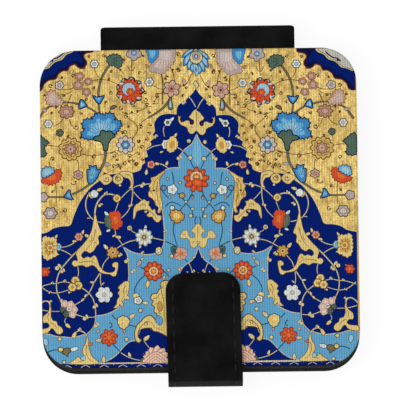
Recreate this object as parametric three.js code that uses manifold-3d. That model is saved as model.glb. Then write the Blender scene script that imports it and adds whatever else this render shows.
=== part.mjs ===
// Pocket mirror: two thin covers with a mirror inside each, joined by a leather hinge band
// and held shut by a magnetic strap. Sizes are in millimetres, +Z is up and +Y is towards
// the hinge. The closed mirror lies on its back cover, and the origin is the middle of the
// back cover's outer face.
import * as THREE from 'three';
import { mergeVertices } from 'three/addons/utils/BufferGeometryUtils.js';
import Module from 'manifold-3d';

const wasm = await Module();
wasm.setup();

// Cover outline
const coverWidth = 80;
const coverHeight = 81;
const coverCornerRadius = 9;

// Cover layers
const facingThickness = 0.75;
const boardThickness = 1.5;
const tapeThickness = 0.25;
const glassThickness = 1.5;
const innerLiningThickness = 0.5;
const edgeWrapThickness = 0.8;
const coverGap = 0.3;

// Mirror glass and the frame that covers its edge
const glassInset = 6;
const glassCornerRadius = 5;
const glassLap = 1.5;
const tapeInset = 2;

// Leather band, as used for the hinge and the strap
const leatherThickness = 0.75;
const bandLiningThickness = 0.5;
const foldGap = 0.3;
const fitClearance = 0.3;

// Hinge band at the top edge
const hingeWidth = 49;
const hingeReach = 5.85;
const hingeTongueDepth = 14;

// Strap at the bottom edge
const strapWidth = 18.8;
const strapOffset = 0.9;
const strapReach = 3.8;
const strapTongueDepth = 14;
const flapLength = 23.7;
const flapTipRadius = 4.5;
const flapLift = 0.3;
const flapRimWidth = 2.2;

// Stiffener, magnet and keeper of the strap
const stiffenerThickness = 0.75;
const stiffenerRootInset = 2;
const magnetDiameter = 8;
const magnetSetback = 9;
const keeperDiameter = 12;

// Stitching on the strap's rim
const stitchLength = 2.5;
const stitchGap = 0.6;
const stitchInset = 1.8;
const stitchEndMargin = 0.8;
const threadWidth = 0.45;
const threadHeight = 0.25;
const threadCoreHeight = 0.08;

// Fineness of round stretches
const cornerSteps = 10;
const stitchSteps = 6;
const discSteps = 40;
const leastRadius = 0.1;
const cutMargin = 1;

// Sizes that follow from the driving ones
const bandThickness = leatherThickness + bandLiningThickness;
const foldRadius = bandThickness / 2;
const leatherInner = facingThickness + leatherThickness;
const bandInner = leatherInner + bandLiningThickness;
const boardInner = bandInner + boardThickness;
const tapeInner = boardInner + tapeThickness;
const glassInner = tapeInner + glassThickness;
const coverThickness = glassInner + innerLiningThickness;
const closedThickness = 2 * coverThickness + coverGap;
const coverEdge = coverHeight / 2;
const foldDepth = facingThickness + foldRadius;
const hingeAxisY = coverEdge + hingeReach - foldRadius;
const strapAxisY = -(coverEdge + strapReach - foldRadius);
const flapBase = closedThickness + flapLift;
const flapRoot = strapAxisY + foldRadius + foldGap;
const flapTip = flapLength - coverEdge;
const pocketInset = flapRimWidth + leatherThickness;
const pocketRoot = stiffenerRootInset - coverEdge;
const magnetY = flapTip - magnetSetback;

// The two covers are built alike: a layer is given by its depths below the outer face.
// The back cover's outer face looks down and the front cover's looks up.
const backSide = {
  name: 'back',
  base: 0,
  layer: (outer, inner) => [outer, inner],
};
const frontSide = {
  name: 'front',
  base: coverThickness + coverGap,
  layer: (outer, inner) => [coverThickness - inner, coverThickness - outer],
};

// A tongue is the end of a band that is glued in between facing and board.
// It leaves its cover over one edge: +1 is the hinge edge and -1 the strap edge.
const hingeTongue = {
  edge: 1,
  centre: 0,
  width: hingeWidth,
  depth: hingeTongueDepth,
  end: hingeAxisY - foldRadius - foldGap,
};
const strapTongue = {
  edge: -1,
  centre: strapOffset,
  width: strapWidth,
  depth: strapTongueDepth,
  end: flapRoot,
};

// Finishes
const suede = { color: 0x161617, roughness: 0.95, metalness: 0 };
const liningSuede = { color: 0x1c1c1e, roughness: 0.95, metalness: 0 };
const printedCanvas = { color: 0xcfae66, roughness: 0.8, metalness: 0 };
const greyCard = { color: 0x9b9486, roughness: 0.9, metalness: 0 };
const whiteTape = { color: 0xe6e2d6, roughness: 0.8, metalness: 0 };
const silveredGlass = { color: 0xdde4e8, roughness: 0.04, metalness: 1 };
const plainSteel = { color: 0x9aa0a6, roughness: 0.4, metalness: 1 };
const nickelPlate = { color: 0xc4c8cc, roughness: 0.25, metalness: 1 };
const thread = { color: 0x2c2c2f, roughness: 0.85, metalness: 0 };

// Points on an arc, both ends included
function arcPoints(x, y, radius, start, end) {
  const points = [];
  for (let step = 0; step <= cornerSteps; step += 1) {
    const angle = start + (end - start) * step / cornerSteps;
    points.push(new THREE.Vector2(x + radius * Math.cos(angle), y + radius * Math.sin(angle)));
  }
  return points;
}

// Rounded rectangle about the origin
function roundedRectangle(width, height, cornerRadius) {
  const radius = Math.max(cornerRadius, leastRadius);
  const x = width / 2 - radius;
  const y = height / 2 - radius;
  return new THREE.Shape([
    ...arcPoints(x, y, radius, 0, Math.PI / 2),
    ...arcPoints(-x, y, radius, Math.PI / 2, Math.PI),
    ...arcPoints(-x, -y, radius, Math.PI, 1.5 * Math.PI),
    ...arcPoints(x, -y, radius, 1.5 * Math.PI, 2 * Math.PI),
  ]);
}

// Cover outline, moved inwards by an inset
function coverOutline(inset) {
  return roundedRectangle(coverWidth - 2 * inset, coverHeight - 2 * inset, coverCornerRadius - inset);
}

// Glass outline, moved inwards by an inset and outwards by a negative one
function glassOutline(inset) {
  const margin = 2 * (glassInset + inset);
  return roundedRectangle(coverWidth - margin, coverHeight - margin, glassCornerRadius - inset);
}

// Strap flap outline with a round-cornered tip, moved inwards by an inset at the sides and tip
function flapOutline(inset, root) {
  const radius = Math.max(flapTipRadius - inset, leastRadius);
  const x = strapWidth / 2 - inset - radius;
  const y = flapTip - inset - radius;
  return new THREE.Shape([
    new THREE.Vector2(-x - radius, root),
    new THREE.Vector2(x + radius, root),
    ...arcPoints(x, y, radius, 0, Math.PI / 2),
    ...arcPoints(-x, y, radius, Math.PI / 2, Math.PI),
  ]);
}

// Circle as the outline of a hole
function circle(x, y, diameter) {
  const path = new THREE.Path();
  path.absarc(x, y, diameter / 2, 0, 2 * Math.PI);
  return new THREE.Path(path.getPoints(discSteps).slice(0, -1));
}

// Flat plate between two heights
function plate(outline, [low, high]) {
  const geometry = new THREE.ExtrudeGeometry(outline, { depth: high - low, bevelEnabled: false });
  geometry.translate(0, 0, low);
  return geometry;
}

// Flat disc between two heights
function disc(x, y, diameter, [low, high]) {
  const geometry = new THREE.CylinderGeometry(diameter / 2, diameter / 2, high - low, discSteps);
  geometry.rotateX(Math.PI / 2);
  geometry.translate(x, y, (low + high) / 2);
  return geometry;
}

// Rectangular block between pairs of limits
function block([left, right], [near, far], [low, high]) {
  const geometry = new THREE.BoxGeometry(right - left, far - near, high - low);
  geometry.translate((left + right) / 2, (near + far) / 2, (low + high) / 2);
  return geometry;
}

// Bar along X whose cross-section is drawn in Y and Z
function barAlongX(section, centre, width) {
  const geometry = new THREE.ExtrudeGeometry(section, { depth: width, bevelEnabled: false });
  const sectionToWorld = new THREE.Matrix4().makeBasis(
    new THREE.Vector3(0, 1, 0),
    new THREE.Vector3(0, 0, 1),
    new THREE.Vector3(1, 0, 0),
  );
  geometry.applyMatrix4(sectionToWorld);
  geometry.translate(centre - width / 2, 0, 0);
  return geometry;
}

// Closed mesh to solid, for joining and cutting
function toSolid(geometry) {
  const bare = geometry.clone();
  bare.deleteAttribute('normal');
  bare.deleteAttribute('uv');
  const merged = mergeVertices(bare);
  return new wasm.Manifold(new wasm.Mesh({
    numProp: 3,
    vertProperties: new Float32Array(merged.attributes.position.array),
    triVerts: new Uint32Array(merged.index.array),
  }));
}

// Solid back to a mesh that three.js can show
function toGeometry(solid) {
  const mesh = solid.getMesh();
  const geometry = new THREE.BufferGeometry();
  geometry.setAttribute('position', new THREE.BufferAttribute(mesh.vertProperties, mesh.numProp));
  geometry.setIndex(new THREE.BufferAttribute(mesh.triVerts, 1));
  geometry.computeVertexNormals();
  return geometry;
}

// Body with several cutters taken away
function cut(body, cutters) {
  let solid = toSolid(body);
  for (const cutter of cutters) {
    solid = solid.subtract(toSolid(cutter));
  }
  return toGeometry(solid);
}

// Two bodies joined into one
function join(first, second) {
  return toGeometry(toSolid(first).add(toSolid(second)));
}

// Named mesh with a material of its own
function piece(name, geometry, finish) {
  const mesh = new THREE.Mesh(geometry, new THREE.MeshStandardMaterial(finish));
  mesh.name = name;
  return mesh;
}

// Limits in Y from the inner end of a tongue to a place outside its cover edge
function tongueSpan(tongue, depth, outside) {
  const inner = tongue.edge * (coverEdge - depth);
  return [Math.min(inner, outside), Math.max(inner, outside)];
}

// Room that a tongue needs in the layer it runs through, open at the cover's edge
function tongueRoom(tongue, depth, layer) {
  const halfWidth = tongue.width / 2 + fitClearance;
  const outside = tongue.edge * (coverEdge + cutMargin);
  return block(
    [tongue.centre - halfWidth, tongue.centre + halfWidth],
    tongueSpan(tongue, depth + fitClearance, outside),
    layer,
  );
}

// One layer of a tongue
function tongueLayer(tongue, layer) {
  return block(
    [tongue.centre - tongue.width / 2, tongue.centre + tongue.width / 2],
    tongueSpan(tongue, tongue.depth, tongue.end),
    layer,
  );
}

// Card that fills the layer beside the tongues, with a hole for the keeper where it has one
function fillerCard(side, tongues, keeperHole) {
  const outline = coverOutline(edgeWrapThickness);
  if (keeperHole) {
    outline.holes.push(keeperHole);
  }
  const room = side.layer(facingThickness - cutMargin, bandInner + cutMargin);
  const cutters = tongues.map((tongue) => tongueRoom(tongue, tongue.depth, room));
  return cut(plate(outline, side.layer(facingThickness, bandInner)), cutters);
}

// Suede strip round the cover's edge, open where a tongue leaves the cover
function edgeWrap(side, tongues) {
  const ring = coverOutline(0);
  ring.holes.push(coverOutline(edgeWrapThickness));
  const room = side.layer(facingThickness - cutMargin, bandInner);
  const depth = edgeWrapThickness + cutMargin;
  const cutters = tongues.map((tongue) => tongueRoom(tongue, depth, room));
  return cut(plate(ring, side.layer(facingThickness, coverThickness)), cutters);
}

// Card frame that the glass lies in
function mirrorSurround(side) {
  const frame = coverOutline(edgeWrapThickness);
  frame.holes.push(glassOutline(-fitClearance));
  return plate(frame, side.layer(boardInner, glassInner));
}

// Suede frame that covers the edge of the glass
function innerLining(side) {
  const frame = coverOutline(edgeWrapThickness);
  frame.holes.push(glassOutline(glassLap));
  return plate(frame, side.layer(glassInner, coverThickness));
}

// One cover with everything that is fixed in it
function cover(side, facing, tongues, keeperHole) {
  const facingPlate = plate(coverOutline(0), side.layer(0, facingThickness));
  const board = plate(coverOutline(edgeWrapThickness), side.layer(bandInner, boardInner));
  const tape = plate(glassOutline(tapeInset), side.layer(boardInner, tapeInner));
  const glass = plate(glassOutline(0), side.layer(tapeInner, glassInner));
  const hingeLeather = tongueLayer(hingeTongue, side.layer(facingThickness, leatherInner));
  const hingeLining = tongueLayer(hingeTongue, side.layer(leatherInner, bandInner));
  const group = new THREE.Group();
  group.position.z = side.base;
  group.add(
    piece(facing.name, facingPlate, facing.finish),
    piece(`${side.name}_filler_card`, fillerCard(side, tongues, keeperHole), greyCard),
    piece(`${side.name}_board`, board, greyCard),
    piece(`${side.name}_edge_wrap`, edgeWrap(side, tongues), suede),
    piece(`${side.name}_mirror_tape`, tape, whiteTape),
    piece(`${side.name}_mirror_glass`, glass, silveredGlass),
    piece(`${side.name}_mirror_surround`, mirrorSurround(side), greyCard),
    piece(`${side.name}_lining`, innerLining(side), liningSuede),
    piece(`hinge_${side.name}_leather`, hingeLeather, suede),
    piece(`hinge_${side.name}_lining`, hingeLining, liningSuede),
  );
  return group;
}

// Cross-section of one layer of a band that stands upright between two fold axes.
// Depths are measured from the band's outer face, and the ends are round about the axes.
function standingSection(outward, axisY, [lowAxis, highAxis], [outerDepth, innerDepth]) {
  const start = Math.acos(1 - outerDepth / foldRadius);
  const end = Math.acos(1 - innerDepth / foldRadius);
  const points = [
    ...arcPoints(0, highAxis, foldRadius, start, end),
    ...arcPoints(0, lowAxis, foldRadius, -end, -start),
  ];
  return new THREE.Shape(points.map((point) => new THREE.Vector2(axisY + outward * point.x, point.y)));
}

// Both layers of a standing band
function standingBand(name, outward, axisY, axes, centre, width) {
  const leather = standingSection(outward, axisY, axes, [0, leatherThickness]);
  const lining = standingSection(outward, axisY, axes, [leatherThickness, bandThickness]);
  const group = new THREE.Group();
  group.add(
    piece(`${name}_leather`, barAlongX(leather, centre, width), suede),
    piece(`${name}_lining`, barAlongX(lining, centre, width), liningSuede),
  );
  return group;
}

// Strap leather: a thin rim with a raised pad, hollow underneath for the stiffener
function flapLeather() {
  const low = bandLiningThickness;
  const rim = plate(flapOutline(0, flapRoot), [low, low + leatherThickness]);
  const padTop = low + leatherThickness + stiffenerThickness;
  const pad = plate(flapOutline(flapRimWidth, pocketRoot - leatherThickness), [low, padTop]);
  const pocketLayer = [low - cutMargin, low + stiffenerThickness];
  return cut(join(rim, pad), [plate(flapOutline(pocketInset, pocketRoot), pocketLayer)]);
}

// Plate in the strap's pocket, with a hole for the magnet
function flapStiffener() {
  const outline = flapOutline(pocketInset + fitClearance, pocketRoot + fitClearance);
  outline.holes.push(circle(0, magnetY, magnetDiameter + 2 * fitClearance));
  return plate(outline, [bandLiningThickness, bandLiningThickness + stiffenerThickness]);
}

// Height of the stitching over its length, where a share of 0 and 1 are a stitch's ends
function stitchHeight(share) {
  return threadCoreHeight + (threadHeight - threadCoreHeight) * Math.sin(Math.PI * share);
}

// One row of stitches along the strap's rim, joined by the thread between them
function stitchRow(x) {
  const start = flapRoot + stitchEndMargin;
  const pitch = stitchLength + stitchGap;
  const count = Math.max(Math.floor((flapTip - flapTipRadius - start) / pitch), 1);
  const points = [new THREE.Vector2(start, 0), new THREE.Vector2(start + count * pitch, 0)];
  for (let stitch = count - 1; stitch >= 0; stitch -= 1) {
    for (let step = stitchSteps; step >= 0; step -= 1) {
      const share = step / stitchSteps;
      points.push(new THREE.Vector2(start + stitch * pitch + share * stitchLength, stitchHeight(share)));
    }
  }
  return barAlongX(new THREE.Shape(points), x, threadWidth);
}

// The part of the strap that lies on the front cover
function flap() {
  const group = new THREE.Group();
  group.position.set(strapOffset, 0, flapBase);
  const stiffenerLayer = [bandLiningThickness, bandLiningThickness + stiffenerThickness];
  const rowX = strapWidth / 2 - stitchInset;
  const threadLeft = piece('strap_thread_left', stitchRow(-rowX), thread);
  const threadRight = piece('strap_thread_right', stitchRow(rowX), thread);
  threadLeft.position.z = bandThickness;
  threadRight.position.z = bandThickness;
  group.add(
    piece('strap_flap_leather', flapLeather(), suede),
    piece('strap_flap_stiffener', flapStiffener(), greyCard),
    piece('strap_flap_lining', plate(flapOutline(0, flapRoot), [0, bandLiningThickness]), liningSuede),
    piece('strap_magnet', disc(0, magnetY, magnetDiameter, stiffenerLayer), nickelPlate),
    threadLeft,
    threadRight,
  );
  return group;
}

// Root of the strap, glued into the back cover
function strapRoot() {
  const group = new THREE.Group();
  group.add(
    piece('strap_root_leather', tongueLayer(strapTongue, [facingThickness, leatherInner]), suede),
    piece('strap_root_lining', tongueLayer(strapTongue, [leatherInner, bandInner]), liningSuede),
  );
  return group;
}

// Steel disc under the front facing that the magnet holds on to
function keeperPlate() {
  const layer = frontSide.layer(facingThickness, bandInner);
  const keeper = piece('front_keeper_plate', disc(0, 0, keeperDiameter, layer), plainSteel);
  keeper.position.set(strapOffset, magnetY, frontSide.base);
  return keeper;
}

const pocketMirror = new THREE.Group();
const printFacing = { name: 'front_print_panel', finish: printedCanvas };
const skinFacing = { name: 'back_skin', finish: suede };
const keeperHole = circle(strapOffset, magnetY, keeperDiameter + 2 * fitClearance);
const hingeAxes = [foldDepth, closedThickness - foldDepth];
const strapAxes = [foldDepth, flapBase + foldRadius];
pocketMirror.add(
  cover(backSide, skinFacing, [hingeTongue, strapTongue], null),
  cover(frontSide, printFacing, [hingeTongue], keeperHole),
  keeperPlate(),
  standingBand('hinge_spine', 1, hingeAxisY, hingeAxes, 0, hingeWidth),
  strapRoot(),
  standingBand('strap_bridge', -1, strapAxisY, strapAxes, strapOffset, strapWidth),
  flap(),
);

export default pocketMirror;
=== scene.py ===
# %% [markdown]
# # A folding pocket mirror
# The real object is two thin boards with a mirror inside each. A leather band joins them at
# the top, a magnetic strap holds them shut at the bottom, and the front is a printed canvas
# with a Persian illumination. It lies closed on a white table.
#
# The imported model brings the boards, cards and glass at their real size. This lesson adds
# what the eye sees: suede, a folded band, a stitched strap, silvered glass and the print.

# %% Load the frame
import math

import bmesh
import bpy
import numpy
from mathutils import Matrix, Vector
from mathutils.geometry import delaunay_2d_cdt


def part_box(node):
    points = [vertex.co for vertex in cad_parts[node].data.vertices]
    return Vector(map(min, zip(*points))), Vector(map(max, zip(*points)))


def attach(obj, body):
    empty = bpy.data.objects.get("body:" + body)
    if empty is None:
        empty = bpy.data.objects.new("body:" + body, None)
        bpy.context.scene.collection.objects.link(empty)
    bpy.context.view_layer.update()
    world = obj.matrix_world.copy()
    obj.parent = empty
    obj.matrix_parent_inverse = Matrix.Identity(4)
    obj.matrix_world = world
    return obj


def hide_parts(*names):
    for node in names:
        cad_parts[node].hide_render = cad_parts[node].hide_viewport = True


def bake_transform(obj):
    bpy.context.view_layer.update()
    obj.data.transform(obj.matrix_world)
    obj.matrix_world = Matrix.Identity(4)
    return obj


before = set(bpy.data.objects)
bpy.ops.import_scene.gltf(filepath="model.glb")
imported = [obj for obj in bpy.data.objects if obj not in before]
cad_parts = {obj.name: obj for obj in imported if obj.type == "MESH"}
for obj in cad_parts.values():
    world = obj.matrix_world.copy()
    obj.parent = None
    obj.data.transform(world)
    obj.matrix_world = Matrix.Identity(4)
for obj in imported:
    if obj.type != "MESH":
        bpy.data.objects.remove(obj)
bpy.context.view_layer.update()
bpy.ops.object.select_all(action='DESELECT')

# %% [markdown]
# ## Measures
# Every place comes from the frame, so that the pieces fit the CAD without any nudging. The
# frame is in metres. A small helper turns a size that a maker would give in millimetres.

# %% Measures
MM = 0.001


def mm(value):
    return value * MM


panel_low, panel_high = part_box("front_print_panel")
cover_corner = mm(9)
wrap_thickness = panel_high.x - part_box("front_board")[1].x
closed_top = panel_high.z
panel_width = panel_high.x - panel_low.x
panel_depth = panel_high.y - panel_low.y
print("cover", round(panel_width / MM, 2), "by", round(panel_depth / MM, 2), "mm")

# %% [markdown]
# ## Camera
# The photograph looks down on the mirror from almost straight above, a little from the strap
# side, with a long lens. The picture is as wide as 400 pixels, and the cover fills a known
# number of them, so the focal length follows from the distance.

# %% Camera
CAMERA_ELEVATION = math.radians(81.5)
CAMERA_TURN = math.radians(0.72)
CAMERA_DISTANCE = 3.0
FRAME_PIXELS = 400
COVER_PIXELS = 317.4
PANEL_MIDDLE_PIXEL = (199.6, 207.5)
CLIP_START = 0.05

camera_data = bpy.data.cameras.new("camera")
camera = bpy.data.objects.new("camera", camera_data)
bpy.context.scene.collection.objects.link(camera)
bpy.context.scene.camera = camera

target = Vector((0, 0, closed_top))
sight = Vector((0, -math.cos(CAMERA_ELEVATION), math.sin(CAMERA_ELEVATION)))
camera.location = target + sight * CAMERA_DISTANCE
upright = (-sight).to_track_quat('-Z', 'Y').to_matrix().to_4x4()
camera.matrix_world = Matrix.Translation(camera.location) @ upright @ Matrix.Rotation(-CAMERA_TURN, 4, 'Z')
view_width = panel_width * FRAME_PIXELS / COVER_PIXELS
camera_data.lens = camera_data.sensor_width * CAMERA_DISTANCE / view_width
camera_data.shift_x = (FRAME_PIXELS / 2 - PANEL_MIDDLE_PIXEL[0]) / FRAME_PIXELS
camera_data.shift_y = (PANEL_MIDDLE_PIXEL[1] - FRAME_PIXELS / 2) / FRAME_PIXELS
camera_data.clip_start = CLIP_START
print("lens", round(camera_data.lens), "mm at", CAMERA_DISTANCE, "m")

# %% [markdown]
# ## Table and light
# The photograph has a white ground and light from all round. A pale floor, a white world and
# one large soft lamp give that. The floor shows a little brighter to the camera than it is,
# so that the ground is white and the mirror still has a faint shadow. Glass and metal show
# the same bright ground, because gloss and clear rays count as seen too.

# %% Brighter where it is seen
WHITE = (1, 1, 1, 1)


def white_light(tree, kind, strength):
    """A shader node that shines white at that strength."""
    node = tree.nodes.new(kind)
    node.inputs["Color"].default_value = WHITE
    node.inputs["Strength"].default_value = strength
    return node


def show_when_seen(tree, lit, seen, share, output):
    """Mixes the seen shader over the lit one, by that share, for what the camera sees."""
    rays = tree.nodes.new("ShaderNodeLightPath")
    is_seen = rays.outputs["Is Camera Ray"]
    for ray_kind in ("Is Glossy Ray", "Is Transmission Ray"):
        either = tree.nodes.new("ShaderNodeMath")
        either.operation = 'MAXIMUM'
        tree.links.new(is_seen, either.inputs[0])
        tree.links.new(rays.outputs[ray_kind], either.inputs[1])
        is_seen = either.outputs[0]
    amount = tree.nodes.new("ShaderNodeMath")
    amount.operation = 'MULTIPLY'
    amount.inputs[1].default_value = share
    mix = tree.nodes.new("ShaderNodeMixShader")
    tree.links.new(is_seen, amount.inputs[0])
    tree.links.new(amount.outputs[0], mix.inputs["Fac"])
    tree.links.new(lit.outputs[0], mix.inputs[1])
    tree.links.new(seen.outputs[0], mix.inputs[2])
    tree.links.new(mix.outputs[0], output.inputs["Surface"])
    print("seen at share", share, "on top of its own light")


# %% Table
FLOOR_SIZE = 3.0
FLOOR_GAP = mm(0.02)
FLOOR_WHITE = (0.86, 0.86, 0.86, 1)
FLOOR_GLOW_SHARE = 0.84
FLOOR_GLOW = 1.06

bpy.ops.mesh.primitive_plane_add(size=FLOOR_SIZE, location=(0, 0, -FLOOR_GAP))
floor = bpy.context.object
floor.name = "floor"
floor_material = bpy.data.materials.new("pale_floor")
floor_material.use_nodes = True
floor_tree = floor_material.node_tree
floor_tree.nodes.clear()
floor_output = floor_tree.nodes.new("ShaderNodeOutputMaterial")
floor_paint = floor_tree.nodes.new("ShaderNodeBsdfDiffuse")
floor_paint.inputs["Color"].default_value = FLOOR_WHITE
floor_glow = white_light(floor_tree, "ShaderNodeEmission", FLOOR_GLOW)
show_when_seen(floor_tree, floor_paint, floor_glow, FLOOR_GLOW_SHARE, floor_output)
floor.data.materials.append(floor_material)

# %% Room and lamp
WORLD_STRENGTH = 0.6
SEEN_WORLD_STRENGTH = 1.0
LAMP_POWER = 6.5
LAMP_SIZE = 0.9
LAMP_PLACE = Vector((-0.35, -0.25, 1.2))

world = bpy.data.worlds.new("white_room")
bpy.context.scene.world = world
world.use_nodes = True
world_tree = world.node_tree
world_tree.nodes.clear()
world_output = world_tree.nodes.new("ShaderNodeOutputWorld")
room = white_light(world_tree, "ShaderNodeBackground", WORLD_STRENGTH)
seen_room = white_light(world_tree, "ShaderNodeBackground", SEEN_WORLD_STRENGTH)
show_when_seen(world_tree, room, seen_room, 1.0, world_output)

lamp_data = bpy.data.lights.new("soft_lamp", 'AREA')
lamp_data.energy = LAMP_POWER
lamp_data.size = LAMP_SIZE
lamp = bpy.data.objects.new("soft_lamp", lamp_data)
bpy.context.scene.collection.objects.link(lamp)
lamp.location = LAMP_PLACE
lamp.rotation_euler = (target - LAMP_PLACE).to_track_quat('-Z', 'Y').to_euler()
bpy.context.scene.view_settings.view_transform = 'Standard'
print("lamp", LAMP_POWER, "W, world", WORLD_STRENGTH)

# %% [markdown]
# ## Finishes
# Suede is leather with its fibres raised. It is dull, nearly black here, and clouded where
# the nap lies a different way. A node material can hold all of that: one noise for the
# clouds, one fine noise for the fibres, and a bump from the fine one. The patterns read
# Object coordinates, so they keep their scale on every piece.

# %% Finish helpers
def new_finish(name, roughness, specular):
    """A Principled material, its node tree and its shader."""
    material = bpy.data.materials.new(name)
    material.use_nodes = True
    tree = material.node_tree
    shader = tree.nodes["Principled BSDF"]
    shader.inputs["Roughness"].default_value = roughness
    shader.inputs["Specular IOR Level"].default_value = specular
    return material, tree, shader


def object_noise(tree, scale, detail, stretch=(1, 1, 1)):
    """Noise on Object coordinates, finer with a larger scale."""
    place = tree.nodes.new("ShaderNodeTexCoord")
    mapping = tree.nodes.new("ShaderNodeMapping")
    mapping.inputs["Scale"].default_value = stretch
    noise = tree.nodes.new("ShaderNodeTexNoise")
    noise.inputs["Scale"].default_value = scale
    noise.inputs["Detail"].default_value = detail
    tree.links.new(place.outputs["Object"], mapping.inputs["Vector"])
    tree.links.new(mapping.outputs["Vector"], noise.inputs["Vector"])
    return noise.outputs["Fac"]


def ramp(tree, fac, low, dark, high, light):
    """Colour that goes from dark to light as fac goes from low to high."""
    node = tree.nodes.new("ShaderNodeValToRGB")
    node.color_ramp.elements[0].position = low
    node.color_ramp.elements[0].color = (*dark, 1)
    node.color_ramp.elements[1].position = high
    node.color_ramp.elements[1].color = (*light, 1)
    tree.links.new(fac, node.inputs["Fac"])
    return node.outputs["Color"]


def bump(tree, shader, height, distance, strength):
    """Bump of that height field, with its depth in metres."""
    node = tree.nodes.new("ShaderNodeBump")
    node.inputs["Distance"].default_value = distance
    node.inputs["Strength"].default_value = strength
    tree.links.new(height, node.inputs["Height"])
    tree.links.new(node.outputs["Normal"], shader.inputs["Normal"])


def multiply(tree, first, second):
    """Two colours multiplied."""
    node = tree.nodes.new("ShaderNodeMix")
    node.data_type = 'RGBA'
    node.blend_type = 'MULTIPLY'
    node.inputs["Factor"].default_value = 1.0
    tree.links.new(first, node.inputs["A"])
    tree.links.new(second, node.inputs["B"])
    return node.outputs["Result"]


print("helpers for noise, ramps, bump and mixed colours are ready")

# %% Suede
CLOUD_SCALE = 160
FIBRE_SCALE = 5200
FIBRE_SHADE = (0.72, 0.72, 0.72)
FULL_LIGHT = (1.0, 1.0, 1.0)
NAP_DEPTH = mm(0.05)
NAP_SHEEN = 0.02
NAP_SHEEN_ROUGHNESS = 0.4


def suede_finish(name, dark, light):
    material, tree, shader = new_finish(name, roughness=0.95, specular=0.03)
    clouds = ramp(tree, object_noise(tree, CLOUD_SCALE, 4), 0.35, dark, 0.68, light)
    fibres = object_noise(tree, FIBRE_SCALE, 3)
    grain = ramp(tree, fibres, 0.3, FIBRE_SHADE, 0.7, FULL_LIGHT)
    tree.links.new(multiply(tree, clouds, grain), shader.inputs["Base Color"])
    shader.inputs["Sheen Weight"].default_value = NAP_SHEEN
    shader.inputs["Sheen Roughness"].default_value = NAP_SHEEN_ROUGHNESS
    bump(tree, shader, fibres, NAP_DEPTH, strength=0.6)
    return material


black_suede = suede_finish(
    "black_suede", dark=(0.0054, 0.0054, 0.0057), light=(0.0118, 0.0118, 0.0124),
)
lining_suede = suede_finish(
    "lining_suede", dark=(0.0075, 0.0075, 0.008), light=(0.0135, 0.0135, 0.0145),
)
print("suede finishes:", black_suede.name, lining_suede.name)

# %% [markdown]
# The other finishes are plainer: grey board with paper fibres, tissue tape, silvered glass,
# steel, nickel and waxed thread. Most of them are hidden inside the closed covers, and each
# gets its own grain, because the covers open.

# %% Board, tape and thread
def grained_finish(name, dark, light, scale, roughness, specular, depth):
    material, tree, shader = new_finish(name, roughness, specular)
    grain = object_noise(tree, scale, 4)
    tree.links.new(ramp(tree, grain, 0.35, dark, 0.65, light), shader.inputs["Base Color"])
    bump(tree, shader, grain, depth, strength=0.5)
    return material


grey_board = grained_finish(
    "grey_board", dark=(0.33, 0.31, 0.27), light=(0.42, 0.40, 0.35),
    scale=900, roughness=0.92, specular=0.2, depth=mm(0.04),
)
white_tape = grained_finish(
    "white_tape", dark=(0.76, 0.74, 0.68), light=(0.86, 0.84, 0.79),
    scale=700, roughness=0.85, specular=0.2, depth=mm(0.02),
)
waxed_thread = grained_finish(
    "waxed_thread", dark=(0.008, 0.008, 0.008), light=(0.017, 0.016, 0.016),
    scale=6000, roughness=0.8, specular=0.15, depth=mm(0.03),
)
print("grained finishes:", grey_board.name, white_tape.name, waxed_thread.name)


# %% Glass and metal
def metal_finish(name, dark, light, scale, stretch, smooth, rough):
    material, tree, shader = new_finish(name, smooth, specular=0.5)
    shader.inputs["Metallic"].default_value = 1.0
    grain = object_noise(tree, scale, 3, stretch)
    tree.links.new(ramp(tree, grain, 0.3, dark, 0.7, light), shader.inputs["Base Color"])
    spread = tree.nodes.new("ShaderNodeMapRange")
    spread.inputs["To Min"].default_value = smooth
    spread.inputs["To Max"].default_value = rough
    tree.links.new(grain, spread.inputs["Value"])
    tree.links.new(spread.outputs["Result"], shader.inputs["Roughness"])
    return material


silvered_glass = metal_finish(
    "silvered_glass", dark=(0.86, 0.88, 0.89), light=(0.9, 0.92, 0.93),
    scale=60, stretch=(1, 1, 1), smooth=0.01, rough=0.03,
)
plain_steel = metal_finish(
    "plain_steel", dark=(0.42, 0.43, 0.44), light=(0.55, 0.56, 0.57),
    scale=300, stretch=(1, 14, 1), smooth=0.3, rough=0.5,
)
nickel_plate = metal_finish(
    "nickel_plate", dark=(0.6, 0.61, 0.6), light=(0.7, 0.7, 0.69),
    scale=400, stretch=(1, 1, 1), smooth=0.15, rough=0.3,
)
print("metal finishes:", silvered_glass.name, plain_steel.name, nickel_plate.name)

# %% Finishes of the CAD nodes that stay
BOARD_NODES = [
    "front_filler_card", "front_board", "front_mirror_surround", "back_filler_card", "back_board",
    "back_mirror_surround", "strap_flap_stiffener",
]
CAD_FINISHES = {name: grey_board for name in BOARD_NODES} | {
    "front_mirror_tape": white_tape, "back_mirror_tape": white_tape,
    "front_mirror_glass": silvered_glass, "back_mirror_glass": silvered_glass,
    "front_keeper_plate": plain_steel, "strap_magnet": nickel_plate,
}
for node_name, finish in CAD_FINISHES.items():
    cad_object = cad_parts[node_name]
    if not cad_object.material_slots:
        cad_object.data.materials.append(finish)
    for material_slot in cad_object.material_slots:
        material_slot.material = finish
print(len(CAD_FINISHES), "CAD nodes keep their shape and get a finish")

# %% [markdown]
# ## Working by hand in edit mode
# Each new piece starts as a primitive at its size and place. These helpers pick faces or
# edges by where they are, as a hand would click them, and leave the piece in edit mode.

# %% Starting a piece
def leave_edit_mode():
    if bpy.context.object and bpy.context.object.mode != 'OBJECT':
        bpy.ops.object.mode_set(mode='OBJECT')


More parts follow.
